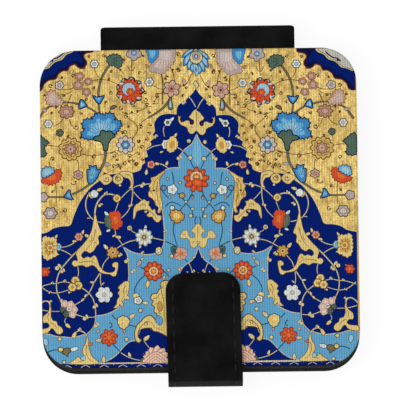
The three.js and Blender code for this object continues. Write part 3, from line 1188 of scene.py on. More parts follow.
motif("lapis", whole([(-0.5, 30.6), (-0.5, 30.6), (-1.4, 29.2), (-2.7, 28), (-3.6, 26.9), (-4.7, 26.5),
    (-5.4, 25.4), (-5.5, 23.8), (-5.5, 23.8), (-7.4, 24), (-9.4, 23.7), (-10.7, 22.6), (-11.2, 21.3),
    (-11, 19.6), (-11.6, 18.8), (-11.2, 17.9), (-12.2, 17), (-12, 16.1), (-13.3, 15), (-12.9, 13.2),
    (-13.8, 12.8), (-13.6, 11.6), (-14.4, 11), (-14.8, 9.8), (-16.8, 9.1), (-18.6, 9.6), (-20.3, 8.9),
    (-22, 8.8), (-23.4, 8.3), (-25, 7.3), (-27, 5.8), (-28.6, 4), (-30, 2), (-31, 0), (-31.8, -2),
    (-32.7, -4.1), (-32.7, -4.1), (-35, -4.4), (-37, -4.9), (-38.4, -5.8), (-41, -6.4), (-41, -6.4),
    (-41, -41), (-41, -41)]), line=0.2, sides=False, ink="pale gold")
vine("brown", 0.2,
    [(-25, 8.2), (-23, 9.2), (-21, 10.3), (-19.4, 11.3), (-18.2, 12.3), (-17, 13.3), (-15.8, 14.2)], 0.7)
vine("deep gold", 0.26, [(-12.4, 22.6), (-13, 20.6), (-13.1, 18.8), (-13.7, 17), (-13.8, 15.2),
    (-14.6, 13.4), (-15.3, 11.6), (-16.8, 10.3)], 0.7)
vine("pale gold", 0.34, [(-24.6, 7.7), (-27, 6), (-28.8, 4.1), (-30.2, 2.1), (-31.2, 0), (-32, -2),
    (-32.8, -4), (-35, -4.2), (-37, -4.7), (-38.6, -5.7), (-41, -6.2)], 1)
motif("turquoise", whole([(-0.3, 19), (-0.3, 19), (-1, 17.4), (-1.8, 16.1), (-3.4, 14.9), (-4.7, 13.2),
    (-5, 11.5), (-4.9, 10.1), (-4.9, 10.1), (-7, 10.1), (-8.6, 9.5), (-9.7, 8.4), (-10.1, 6.9), (-10, 4.5),
    (-9.5, 1), (-9.2, -1.5), (-8.9, -5), (-8.9, -8), (-9.2, -9.6), (-10.4, -11.3), (-13, -11.9),
    (-15.4, -11.7), (-17.4, -11.1), (-19.3, -9.9), (-19.3, -9.9), (-18.2, -12), (-18, -15), (-18, -18),
    (-18.6, -22), (-20.4, -25), (-22.2, -26.3), (-24.4, -27.1), (-26.4, -27.3), (-26.4, -27.3),
    (-26.6, -29.4), (-27.6, -30.8), (-28.8, -31.9), (-28.8, -31.9), (-31, -32.5), (-32.6, -32.8),
    (-34.6, -32.6), (-36.6, -32.4), (-38.2, -31.9), (-41, -31.6), (-41, -31.6), (-41, -39.2),
    (-41, -39.2)]), line=0.2, ink="vine", sides=False)
motif("lapis", whole([(-0.5, -10.4), (-0.5, -10.4), (-1.2, -12.4), (-2.4, -13.8), (-3.9, -14.8),
    (-4.9, -16.2), (-5.4, -18), (-5.2, -20), (-4.2, -21.6), (-2.9, -22.9), (-1.6, -24.6), (-0.5, -27),
    (-0.5, -27)]), line=0.18, ink="vine", sides=False)
motif("lapis", whole([(-0.5, -28.9), (-0.5, -28.9), (-1.5, -30.4), (-3.2, -31.3), (-5.2, -31.2),
    (-7.2, -31.9), (-9, -31.8), (-11.8, -31.2), (-13.6, -30.3), (-15.2, -31), (-16, -33), (-16.4, -33.7),
    (-18, -34), (-19.4, -35.2), (-20.8, -36.8), (-22.2, -38), (-24, -38.9), (-25.8, -39.2),
    (-25.8, -39.2)]), line=0.18, ink="vine", sides=False)
paint("lapis", box_loop(-41, -41.5, 41, -39.3), sides=False)
paint("night", box_loop(-41, -41.5, 41, -40.25), sides=False)
paint("cream", box_loop(-29, -39.5, 28, -39.22), sides=False)
for x in (-38.5, -33.8, -29.2, -24.5, -19.8, -15.2, -11):
    vine("mist", 0.2, [(x - 1.1, -40.3), (x, -39.7), (x + 1.1, -40.3)], 1, 1)
    vine("cream", 0.18, [(x + 2.3, -39.2), (x + 2.3, -39.8)], 0.6, 1)
print(len(painted_shapes), "shapes")

# %% [markdown]
# ## Plants on the gold ground
# Stems come first, because blossoms lie on top of them. A dark line under a thick stem makes
# it stand out. Then come the many small curls that fill the ground.

# %% Stems on gold
for colour, width, points in (
    ("stem", 0.5, [(-21.6, 37.4), (-23.2, 35.4), (-24.4, 33.2), (-25, 31), (-25.2, 28.5), (-25.1, 26),
        (-24.8, 24)]),
    ("stem", 0.36, [(-30, 26.7), (-32.4, 27.2), (-35, 27.2)]),
    ("stem", 0.36, [(-25.4, 24.2), (-27, 25.4), (-28.6, 26.3)]),
    ("stem", 0.5, [(-40.6, 22.8), (-39.2, 24.8), (-37.6, 26.2), (-35.4, 26.7)]),
    ("sage", 0.6, [(-23.6, 15.6), (-23.6, 13.8), (-23.9, 12), (-24.8, 10.2), (-26.4, 7.4), (-28, 6),
        (-30, 4.7), (-32.2, 3.7)]),
    ("stem", 0.4, [(-33.4, 3.1), (-36, 3.1), (-39, 3.2)]),
    ("umber", 0.22, [(-26.1, 36.1), (-25.7, 34.5), (-24.7, 33.1)]),
    ("umber", 0.2, [(-27, 32.6), (-24.4, 33), (-22, 32.5), (-20.2, 31.6)]),
    ("umber", 0.24, [(-31.4, 31), (-32.6, 30.5), (-34.2, 30.5)]),
    ("umber", 0.2, [(-31.8, 30.2), (-33, 29.4), (-35, 29.2)]),
    ("umber", 0.22, [(-31.9, 29.4), (-32.7, 27.6), (-33.2, 25.6)]),
    ("umber", 0.22, [(-34, 23.4), (-35, 22), (-36.6, 21.2)]),
    ("umber", 0.2, [(-32.6, 22.9), (-32.2, 21.6), (-31.3, 20.7)]),
    ("umber", 0.2, [(-35.2, 18.7), (-35.2, 17.3)]),
    ("umber", 0.22, [(-38, 16.3), (-36.6, 16.2), (-35.3, 15.9)]),
    ("umber", 0.2, [(-29.6, 14), (-27, 13.6), (-24, 13.9), (-20.2, 14.9)]),
    ("umber", 0.22, [(-30.7, 12.5), (-30.4, 11.4), (-30.4, 10)]),
    ("brown", 0.3, [(-36.3, 6.7), (-36.1, 4.2), (-36.2, 1)]),
    ("umber", 0.34, [(-9.2, 34.4), (-8.9, 31.8), (-9, 29), (-9, 26.4)]),
    ("stem", 0.55, [(-7, 28), (-7.9, 26.6), (-9.4, 25.1), (-11, 24), (-12.8, 23)]),
    ("umber", 0.2, [(-12.8, 23), (-14.4, 21.9), (-15.2, 21)]),
    ("umber", 0.24, [(-7, 35.8), (-6.2, 34.2), (-5.9, 32.4)]),
    ("umber", 0.2, [(-1.4, 34.4), (-2.4, 32.4), (-3.4, 31.2), (-4.8, 31)]),
    ("umber", 0.2, [(-11.4, 31.3), (-10.2, 30.6), (-9.2, 30.3)]),
    ("umber", 0.24, [(-9.2, 29.3), (-10.1, 29.1), (-10.6, 28.1), (-10.2, 26.9)]),
    ("umber", 0.22, [(-16.7, 17.8), (-15.6, 19.4), (-15.4, 20.8), (-16.4, 22), (-17.8, 23)]),
    ("umber", 0.24, [(-16.6, 38.2), (-16.7, 36.6), (-16.9, 34)]),
    ("umber", 0.2, [(-11.8, 25.9), (-13, 25.8), (-14, 25.2), (-15.6, 24.8)]),
    ("umber", 0.2, [(-20.3, 20), (-19, 19.4), (-18.3, 18.5)]),
    ("umber", 0.22, [(-37.7, 12.1), (-37.6, 10.6)]),
    ("umber", 0.24, [(-22.4, 14), (-21.2, 14.4), (-20.2, 13.6)]),
    ("umber", 0.18, [(-17.8, 36.4), (-17.3, 35.4), (-16.8, 35.1), (-16.2, 35.5), (-15.8, 36.4)]),
    ("umber", 0.18, [(-19.4, 24.6), (-17.9, 24), (-16.6, 24.4), (-15.2, 23.6)]),
    ("umber", 0.18, [(-14.8, 27.6), (-13.8, 26.8), (-12.4, 26.6)]),
):
    if width > 0.34:
        vine("ink", width + 0.2, points, 0.7, 3)
    vine(colour, width, points, 0.7, 3)
print(len(painted_shapes), "shapes")

# %% Curls on gold
for x, y, radius, start, turn in (
    (-37.2, 31.6, 0.55, 300, -280), (-31.6, 34, 0.5, 0, 280), (-30.8, 20.9, 0.65, 200, 300),
    (-37.1, 24.6, 0.3, 0, 300), (-22.1, 29.6, 0.5, 0, -280), (-23.6, 39, 0.45, 90, 270),
    (-27.5, 38.9, 0.4, 0, 280), (-34.4, 33.6, 0.35, 200, 250), (-36.9, 12.9, 0.55, 200, -290),
    (-26.6, 13.3, 0.6, 90, -260), (-34.6, 5.5, 0.4, 180, -240), (-37, 4.5, 0.35, 0, 240),
    (-34, -0.4, 0.6, 90, -260), (-31.6, 6.9, 0.9, 190, 180), (-28.3, 27.9, 0.4, 0, 250),
    (-21.4, 13.4, 0.5, 90, -240), (-19.5, 25.5, 0.6, 90, 250), (-18.2, 23.4, 0.5, 270, -260),
    (-15.1, 17, 0.45, 180, -280), (-14.8, 34.6, 0.4, 0, 240), (-4.8, 35, 0.5, 90, 270),
    (-3, 30.6, 0.35, 90, -260), (-14.5, 20.7, 0.4, 0, 240), (-18.7, 19.5, 0.6, 300, 270),
    (-13.2, 9.9, 0.3, 0, 180), (-15.9, 11.2, 0.6, 0, 280), (-18.8, 11.4, 0.6, 90, -280),
    (-21.6, 10.8, 0.5, 0, 270), (-17.5, 13.4, 0.5, 0, 280), (-20.6, 12.4, 0.35, 90, -270),
    (-23.9, 8.9, 0.3, 0, 260), (-16.4, 26.2, 0.5, 90, 250), (-13.2, 27.7, 0.6, 200, 250),
    (-3.9, 28.7, 0.35, 0, 250), (-5, 39.2, 0.5, 0, 260), (-19.6, 35.4, 0.3, 0, 260),
    (-38.9, 29.2, 0.35, 180, 220), (-29.8, 18.2, 0.35, 0, 260), (-32.9, 18.6, 0.3, 0, 200),
    (-14.2, 12.4, 0.4, 90, 260), (-12.2, 21.2, 0.45, 90, 260), (-12.5, 19.2, 0.4, 270, 250),
    (-13.1, 17.6, 0.45, 90, -250), (-14.4, 15.6, 0.5, 0, 260), (-15.2, 14, 0.45, 180, -260),
    (-16.6, 12.2, 0.4, 90, 260), (-19.8, 10.4, 0.4, 0, 250), (-13.4, 29.6, 0.5, 0, -250),
    (-12.4, 24.4, 0.4, 90, 270), (-11.2, 37.9, 0.35, 0, 240), (-7.8, 33.6, 0.35, 90, 250),
    (-21.9, 35, 0.35, 0, 240), (-10.3, 28.6, 0.7, 60, 250), (-11, 27, 0.5, 200, 260),
    (-13, 26.4, 0.5, 0, 280), (-4.9, 35.3, 0.5, 200, -240), (-15.4, 24.7, 0.3, 0, 260),
    (-16.8, 24.5, 0.3, 180, 260), (-18.2, 24.2, 0.35, 90, 260), (-19.2, 19.3, 0.4, 0, 270),
    (-15.1, 17.1, 0.4, 0, 330), (-20.4, 11, 0.45, 90, 320), (-15.8, 11.3, 0.45, 200, 320),
    (-17.6, 12, 0.35, 0, 260), (-14.6, 21.3, 0.35, 90, 250), (-22.5, 33, 0.35, 0, 250),
    (-28.8, 36, 0.3, 0, 260), (-33.9, 29, 0.35, 90, 250), (-6.4, 35.2, 0.3, 0, 260),
    (-8.2, 33, 0.35, 0, -250), (-3.6, 31.3, 0.3, 0, 260), (-13.8, 38.9, 0.3, 90, 260),
    (-18.6, 37.9, 0.35, 0, 260), (-6, 37.5, 0.3, 0, 250), (-21.6, 22.9, 0.4, 0, 260),
    (-17.7, 20.9, 0.3, 0, 260), (-29.6, 24.4, 0.4, 90, 250), (-35.9, 26, 0.3, 0, 250),
    (-26.3, 30.9, 0.35, 180, 250), (-23.4, 27.2, 0.35, 0, 250),
):
    curl("umber", 0.25, x, y, radius, start, turn)
print(len(painted_shapes), "shapes")

# %% [markdown]
# ## Blossoms on the gold ground
# A rosette is a ring of petals with a heart, and a feathered petal has a toothed edge. Large
# blossoms are a few such layers, from the widest to the smallest, with short rays as veins.

# %% Blossoms on gold
for colour, x, y, length, turn in (
    ("gold", -19.6, 33.3, 1.7, 100), ("gold", -13.4, 34, 1.7, 80), ("pale gold", -10.5, 27.3, 1.5, 80),
    ("gold", -21.5, 25.8, 1.5, 20), ("pink", -3.5, 32.2, 1.6, 110), ("lilac", -38.9, 25.3, 1.4, 160),
    ("lilac", -23.1, 11.3, 1.6, 0), ("gold", -16.9, 33, 1.2, 90), ("rose", -4.3, 36.6, 1.1, 70),
    ("rose", -12.9, 36.3, 1.1, 120), ("pale gold", -31.9, 35, 1.1, 30),
):
    leaf(colour, x, y, length, turn, ink="umber", line=0.12)
vine("ink", 0.24, [(-22.4, 24.6), (-22.2, 25.2), (-21.9, 25.6)], 1, 2)
leaf("stem", -21.4, 25.9, 1.5, 20, line=0.18)
rosette(-35, 31.6, 2.2, 5, 0.25, "pale lilac", "lilac")
for x, y, size, turn in (
    (-29.9, 33.9, 2.2, 0), (-30.3, 31.6, 2.5, 20), (-27.7, 32.5, 2.0, 40), (-28.2, 29.8, 2.1, 60),
):
    rosette(x, y, size, 5, 0.3, "rose", "pink", turn=turn, line=0.12, ink="umber", wide=1.1,
        heart_share=0.55)
feathered("pink", [(-38.1, 28.8), (-37.3, 30.1), (-36, 29.6), (-34.9, 28), (-34.2, 27.1), (-35.6, 26.7),
    (-37, 26.7), (-38, 27.4)], 0.85, 0.5, 0.22, "umber", inner="pale lilac")
rays("rose", 0.2, -34.4, 27.2, 1.2, 3.4, 120, 185, 5)
rosette(-33.3, 24.8, 3.4, 8, 0.3, "rose", "pink", wide=1.12)
rosette(-37.9, 21.8, 2, 6, 0.2, "white", "pale lilac")
rosette(-26.1, 37, 2, 6, 0.2, "white", "pale blue")
rosette(-12.3, 32.2, 2.1, 6, 0.22, "white", "mist")
feathered("green",
    [(-22.8, 38.4), (-21.6, 39.1), (-20, 39), (-19.2, 37.6), (-19.9, 36), (-21, 36.6), (-22.3, 37)], 0.8,
    0.3, 0.24, "night")
rays("night", 0.14, -22.4, 37.8, 1.0, 2.6, -30, 20, 3)
motif("azure", [(-30.1, 25.6), (-30.1, 25.6), (-29.9, 27), (-29.6, 27.8), (-29, 27.5), (-28.2, 26.3),
    (-28.2, 26.3), (-29.2, 25.9)], inner="pale blue", ink="night", line=0.3)
motif("azure", [(-26.5, 28.9), (-26.5, 28.9), (-25.6, 28.3), (-25.1, 28.6), (-24.8, 28.4), (-23.8, 28.8),
    (-23.8, 28.8), (-24.4, 27.7), (-25, 26.9), (-25.8, 27.6)], inner="sky", ink="night", line=0.32)
rosette(-32.4, 15.3, 5.8, 11, 0.2, "ochre", ink="umber", line=0.26)
rosette(-32.4, 15.3, 4.4, 11, 0.1, "brown", line=0)
rosette(-32.4, 15.3, 4.1, 11, 0.2, "ochre", line=0)
rosette(-32.4, 15.3, 3, 8, 0.3, "rose", "pink", "umber", ink="umber", heart_share=0.6, core_share=0.16)
rosette(-35, 19.5, 1.7, 5, 0.2, "green", "sage")
feathered("green", [(-41, 18.7), (-39.6, 18.3), (-38.8, 17.4), (-37.9, 17.2), (-39, 16.2), (-39.2, 15.2),
    (-38.6, 14), (-39.6, 13.7), (-41, 14)], 0.9, 0.3, 0.28, "night")
print(len(painted_shapes), "shapes")

# %% Carnation and calyx
feathered("azure", [(-26.2, 18.4), (-27.4, 18), (-29.3, 18.6), (-29, 19.6), (-28.2, 20.2), (-28.2, 20.2),
    (-28.9, 21), (-29, 21.8), (-28.4, 22.6), (-27.2, 22.6), (-26.7, 22.3), (-26.7, 22.3), (-26.3, 23.4),
    (-25.5, 24), (-24.6, 23.9), (-24, 23.4), (-24, 23.4), (-23.2, 23.9), (-22.2, 24.1), (-21.5, 23.6),
    (-21.5, 22.4), (-21.5, 22.4), (-20.4, 22.2), (-19.7, 21.6), (-20.3, 20.6), (-21.4, 19.2),
    (-23.4, 18.4)], 0.78, 0.46, 0.36, "night")
feathered("sky", [(-28.2, 19), (-27, 20.4), (-27.8, 21.6), (-26, 21.6), (-25.4, 23), (-24, 22.2),
    (-22.4, 23), (-22.2, 21.6), (-20.9, 21.3), (-22.2, 19.4), (-25, 18.8)], 0.9, 0.3, 0, inner="pale blue",
    share=0.5)
rays("azure", 0.22, -24.6, 18.6, 1.2, 4.4, 24, 158, 9)
rays("teal", 0.14, -24.6, 18.4, 3.4, 4.8, 52, 132, 3)
motif("green", [(-26.3, 17.6), (-26.1, 18.3), (-25, 18.6), (-24.6, 19.6), (-24, 19.9), (-23.5, 19.5),
    (-22.8, 19.6), (-22.2, 19.7), (-21.8, 19.1), (-21.2, 18.5), (-22.2, 17.8), (-22.9, 16.6), (-23.2, 15),
    (-23.9, 15), (-24.1, 16.3), (-24.9, 17.3)], line=0.3, ink="night")
rays("sage", 0.16, -23.8, 15.6, 1.2, 3.3, 62, 116, 4)
print(len(painted_shapes), "shapes")

# %% Red flower
rosette(-17.2, 30, 7.4, 9, 0.22, "ink", line=0)
rosette(-17.2, 30, 6.9, 9, 0.24, "pale blue", line=0)
rosette(-17.2, 30, 6.7, 18, 0.18, "wine", line=0, turn=14)
rosette(-17.2, 30, 6.3, 18, 0.26, "red", line=0, turn=14)
rays("wine", 0.16, -17.2, 30, 1.5, 2.6, 0, 340, 12)
for angle in (25, 140, 215, 262, 320):
    spot = math.radians(angle)
    leaf("pale lilac", -17.2 + 2.9 * math.cos(spot), 30 + 2.9 * math.sin(spot), 1.3, angle + 40, 0.5, 0.1)
rosette(-17.5, 30.4, 3.3, 10, 0.06, "pale blue", line=0.16, ink="wine")
rosette(-17.1, 29.7, 2.1, 6, 0.2, "red", "orange", line=0.08, ink="wine", heart_share=0.5)
print(len(painted_shapes), "shapes")

# %% Palmette, patch and lotus at the top edge
feathered("lilac", [(-5.7, 41), (-5.9, 38.6), (-6.3, 37), (-7.4, 36), (-8.2, 34.8), (-9.6, 34.4),
    (-11, 35), (-12, 34.9), (-11.9, 36.4), (-10.6, 37.6), (-10, 39), (-10, 41), (-10, 41), (-5.7, 41)],
    1.0, 0.36, 0.13, "umber", inner="pale lilac", share=0.66)
rays("rose", 0.2, -8.2, 39.5, 1.8, 4.6, 195, 290, 7)
feathered("azure", [(-13, 41), (-12.6, 39.4), (-12.4, 38), (-11.7, 37.1), (-10.8, 37.9), (-10, 39.2),
    (-10, 41), (-10, 41)], 0.9, 0.2, 0.13, "teal", inner="sky", share=0.5)
for points in (
    [(-0.8, 41), (-2, 40.4), (-3.2, 39.6), (-4, 38.4), (-4, 38.4), (-2.8, 38.6), (-1.4, 39.3)],
    [(-1, 40), (-2.6, 39), (-3.5, 37.8), (-3.6, 36.1), (-3.6, 36.1), (-2.6, 36.8), (-1.4, 38)],
    [(-1.4, 38.6), (-2.3, 37.4), (-2.7, 36.4), (-2.6, 35.2), (-2.6, 35.2), (-1.8, 35.6), (-1.2, 37)],
    [(-0.9, 37), (-1.7, 36.4), (-1.9, 35.4), (-1.4, 34.6), (-1.4, 34.6), (-0.8, 35.2), (-0.5, 36.2)],
):
    motif("azure", points, line=0.16, inner="pale blue", share=0.66)
motif("pale blue", whole([(-0.4, 33.9), (-0.4, 33.9), (-1, 34.8), (-1.1, 35.8), (-0.8, 36.6)]),
    sides=False, ink="teal", inner="azure", share=0.5)
rosette(-0.4, 38.3, 3.5, 8, 0.06, "ink", line=0, sides=False)
rosette(-0.4, 38.3, 3.1, 8, 0.06, "cream", line=0, sides=False)
rosette(-0.4, 38.6, 2.1, 7, 0.2, "lilac", "green", "pale lilac", line=0.1, ink="teal", heart_share=0.5,
    core_share=0.3, sides=False)
rosette(-16.1, 39.7, 3.9, 5, 0.3, "lilac", "azure", "pale blue", turn=54, ink="teal", heart_share=0.34)
print(len(painted_shapes), "shapes")

# %% Buds and rosettes on gold
motif("sage", [(-7.2, 28.2), (-7.6, 26.4), (-7.5, 25.2), (-7.5, 25.2), (-7, 25.1), (-6.4, 25.2),
    (-6.4, 25.2), (-6.6, 26.4), (-6.8, 28.1)], inner="pale blue")
rosette(-6.7, 30.4, 4.3, 6, 0.34, "pink", turn=20)
rays("umber", 0.12, -6.7, 30.4, 0.3, 1.5, 50, 350, 6)
rosette(-6.7, 30.4, 1.7, 6, 0.2, "rose", "umber", line=0.08, ink="umber", heart_share=0.3)
rosette(-18.5, 16.2, 4.5, 8, 0.26, "pale lilac")
rays("umber", 0.12, -18.5, 16.2, 1.1, 1.8, 22, 337, 8)
rosette(-18.5, 16.2, 2.1, 6, 0.3, "azure", "pale blue", ink="teal", heart_share=0.5)
motif("cream", whole([(-0.5, 32.4), (-1, 31.9), (-0.9, 31.3), (-0.5, 31)]), ink="umber", sides=False)
feathered("red", [(-39.8, 7.2), (-38.6, 8.4), (-37, 9.4), (-35.2, 10), (-35, 8.8), (-35.6, 7.3),
    (-36.6, 6.8), (-37.6, 6.4), (-38.6, 6.9)], 0.75, 0.4, 0.22, "wine", inner="orange", share=0.4)
feathered("sky", [(-39.6, 8.4), (-39.4, 10), (-38.4, 10.6), (-37.2, 10.4), (-36.7, 9.7), (-38.4, 8.6)],
    0.8, 0.35, 0.24, "night", inner="pale blue")
rosette(-30.5, 8.7, 2.3, 6, 0.3, "pink", "rose", turn=30)
motif("azure", [(-28.2, 10), (-28.2, 10), (-27.4, 10), (-27.7, 11.1), (-27.7, 11.1), (-26.9, 10.7),
    (-26, 11), (-26, 11), (-25.8, 9.9), (-24.9, 9.9), (-24.9, 9.9), (-26, 7.7), (-27.2, 6.5), (-28, 6.9),
    (-28.1, 8.2)], line=0.28, ink="night", inner="sky", share=0.6)
rays("teal", 0.14, -27.4, 7, 1.4, 3.4, 62, 92, 3)
motif("azure", [(-34, 3.1), (-34, 3.1), (-33.2, 4.5), (-32.7, 4.8), (-32.6, 3.8), (-31.9, 2.4),
    (-31.9, 2.4), (-33, 2.7)], line=0.28, ink="night", inner="sky")
rosette(-39.4, 3.1, 2.4, 5, 0.2, "lilac")
rosette(-37.6, -1, 3, 6, 0.26, "lilac", "pale lilac", wide=1.1, heart_share=0.5)
motif("pale gold",
    [(-25.6, 7.8), (-24.7, 6.9), (-24.1, 6.2), (-23.2, 6.2), (-22.3, 6.9), (-22, 7.8), (-23.4, 8.8)],
    line=0.1, ink="umber")
curl("umber", 0.2, -23.3, 7.5, 0.75, 200, 300)
scroll([(-18.8, 7.9), (-17.9, 7.7), (-17.3, 6.8), (-17.3, 5.8), (-17.8, 5.1), (-17.8, 5.1), (-16.9, 5.4),
    (-16.6, 6.6), (-16.7, 7.9), (-16.9, 8.9), (-17.7, 9.3), (-19, 9.4), (-20, 9)],
    [[(-18.6, 8.6), (-17.5, 8.4), (-16.95, 7.2), (-17.1, 6)]])
rosette(-20.5, 7.5, 2.9, 7, 0.05, "umber", line=0)
rosette(-20.5, 7.5, 2.6, 7, 0.05, "pale gold", line=0)
rosette(-20, 5.9, 0.6, 4, 0.05, "cream", line=0)
curl("umber", 0.22, -20.4, 7.6, 0.8, 90, 420)
print(len(painted_shapes), "shapes")

# %% [markdown]
# ## Vines and scrolls on lapis
# A vine is a pale line on a wider dark one, which keeps two vines apart where they cross. The
# gold scrolls are acanthus leaves: one long lobed outline each, with dark veins.

# %% Vines on lapis
for width, points in (
    (0.3, [(-2.4, 28.4), (-1.5, 27.2), (-0.7, 25.7)]),
    (0.28, [(-13.2, 14.8), (-11.6, 15.7), (-9.6, 16.1)]),
    (0.26, [(-5.6, 15.5), (-4.6, 14.9), (-3.6, 13.9), (-2.4, 12.6)]),
    (0.26, [(-8.7, 20.8), (-8.9, 19.6), (-8.6, 18.2)]),
    (0.32, [(-11, 11.3), (-9.6, 11.2), (-8.6, 10.7), (-7.8, 10.1)]),
    (0.28, [(-12.4, 6.2), (-14.6, 6), (-16.4, 5.4), (-18, 4.4), (-20, 2.3), (-20.9, 0.4), (-21.4, -1.2)]),
    (0.26, [(-17.2, 5), (-16.4, 3.9), (-15.2, 2.6), (-14.4, 1.9)]),
    (0.3, [(-16.8, 5.4), (-16.9, 3), (-17.3, 1), (-18.3, -1), (-20.2, -2.8)]),
    (0.34, [(-27.7, 4.2), (-28.6, 2.2), (-28.6, 0), (-27.8, -1.7), (-26.6, -2.9), (-25, -3.5),
        (-23.8, -3.6)]),
    (0.48, [(-26.8, -5), (-26.5, -1.6), (-26, 1), (-25, 2.6), (-24, 3.5), (-22.5, 3.7), (-21, 3.2),
        (-20.2, 2.3)]),
    (0.24, [(-28.4, -2.4), (-27.5, -2.3)]), (0.28, [(-31.4, -8.4), (-33, -9.3), (-35.1, -9.8)]),
    (0.28, [(-35.2, -10.3), (-33.6, -11), (-32, -12.1)]),
    (0.28, [(-21.4, -5.4), (-21.1, -6.8), (-20.4, -8), (-19.4, -9.4)]),
    (0.28, [(-16.2, -8.1), (-18, -8.5), (-19.8, -9.4), (-21.4, -10.4)]),
    (0.28, [(-11.9, -7.6), (-10.2, -8), (-8.6, -8.4)]),
    (0.22, [(-16.2, -6.3), (-17, -5.9), (-17.5, -5.2)]),
    (0.36, [(-30, -9.8), (-32, -11.7), (-34, -13.9), (-35.3, -15.6), (-36.1, -17.6), (-36.3, -19.6),
        (-36, -21.6), (-35.2, -23.3), (-34.7, -24.2)]),
    (0.26, [(-40.6, -19.8), (-38.4, -19.1), (-36, -18.8), (-34.3, -18.5), (-32.4, -18.9)]),
    (0.26, [(-40.6, -19.2), (-38.6, -20.8), (-36.6, -21.3), (-34.6, -21), (-33, -20.4)]),
    (0.3, [(-30, -20), (-28.3, -21.3), (-27.1, -23), (-26.6, -25), (-26.5, -27), (-26.7, -29),
        (-27.4, -30.5), (-28.8, -31.9)]),
    (0.28, [(-24.8, -15.4), (-24.3, -13.9), (-23, -12.3)]),
    (0.34, [(-25.3, -16.4), (-26.7, -18.6), (-27.9, -21), (-29.4, -22.9), (-32, -24.6)]),
    (0.22, [(-25.1, -16.5), (-25.2, -18.4), (-24.9, -20.4)]),
    (0.22, [(-30.9, -14.6), (-30.7, -16), (-30.9, -17.4)]),
    (0.26, [(-31.4, -26.8), (-29.8, -27.4), (-28, -27.6), (-26.6, -27.5)]),
    (0.26, [(-40.8, -25.3), (-38.4, -25.9), (-35.6, -26)]),
    (0.24, [(-33.6, -27), (-34.3, -28.4), (-33.9, -29.3)]),
    (0.38, [(-32.4, -32.5), (-31.6, -31.4), (-30.4, -31), (-29.2, -31.7), (-28.7, -33), (-28.7, -35),
        (-28.1, -37), (-27, -38.3), (-25.6, -39.1)]),
    (0.26, [(-20.4, -36.6), (-18.5, -37.8), (-16.4, -38.5), (-14.6, -38.8)]),
    (0.24, [(-14.5, -33.6), (-13.7, -34.8), (-13, -35.6)]),
    (0.26, [(-40.6, -24), (-39, -23.3), (-38, -23.7), (-37.8, -25.4)]),
    (0.24, [(-2.9, -14.1), (-2.4, -15.2), (-2.1, -16.4)]),
):
    vine("night", width + 0.14, points, 0.75, 4)
    vine("vine", 0.86 * width, points, 0.75, 4)

for x, y, size in (
    (-5.2, 12.6, 1), (-11.1, 18.1, 0.8), (-3.8, 26.7, 0.8), (-14.5, 5.7, 1), (-17.6, 0.6, 0.8),
    (-25.2, 0.8, 0.8), (-23.8, 3.8, 0.7), (-34.9, -15.9, 0.9), (-36.1, -15, 1.2), (-34.4, -18.4, 0.6),
    (-37.5, -18.8, 0.5), (-38.1, -21.2, 0.5), (-26.8, -25, 1), (-26.6, -29.8, 1), (-29.3, -27.9, 1.1),
    (-20.4, -12, 0.8), (-18.7, -13.5, 1), (-17.2, -16.2, 0.9), (-30.8, -30.8, 0.7), (-24.7, -19.2, 0.5),
    (-2, -16.4, 0.7), (-1.7, -12.7, 0.6), (-5.3, -15.7, 0.8), (-8.9, -6, 0.6), (-35.2, -23.4, 0.6),
    (-38, -23.6, 0.6), (-33.1, -21.2, 0.6), (-13.6, -0.9, 0.7), (-14.7, -11.4, 0.6),
):
    leaf("cream", x + 0.55 * size, y + 0.45 * size, 1.1 * size, 40 + 90 * math.sin(7 * x), 0.55, 0.06)
    rosette(x, y, 0.9 * size, 5, 0.12, "cream", line=0.1)
print(len(painted_shapes), "shapes")

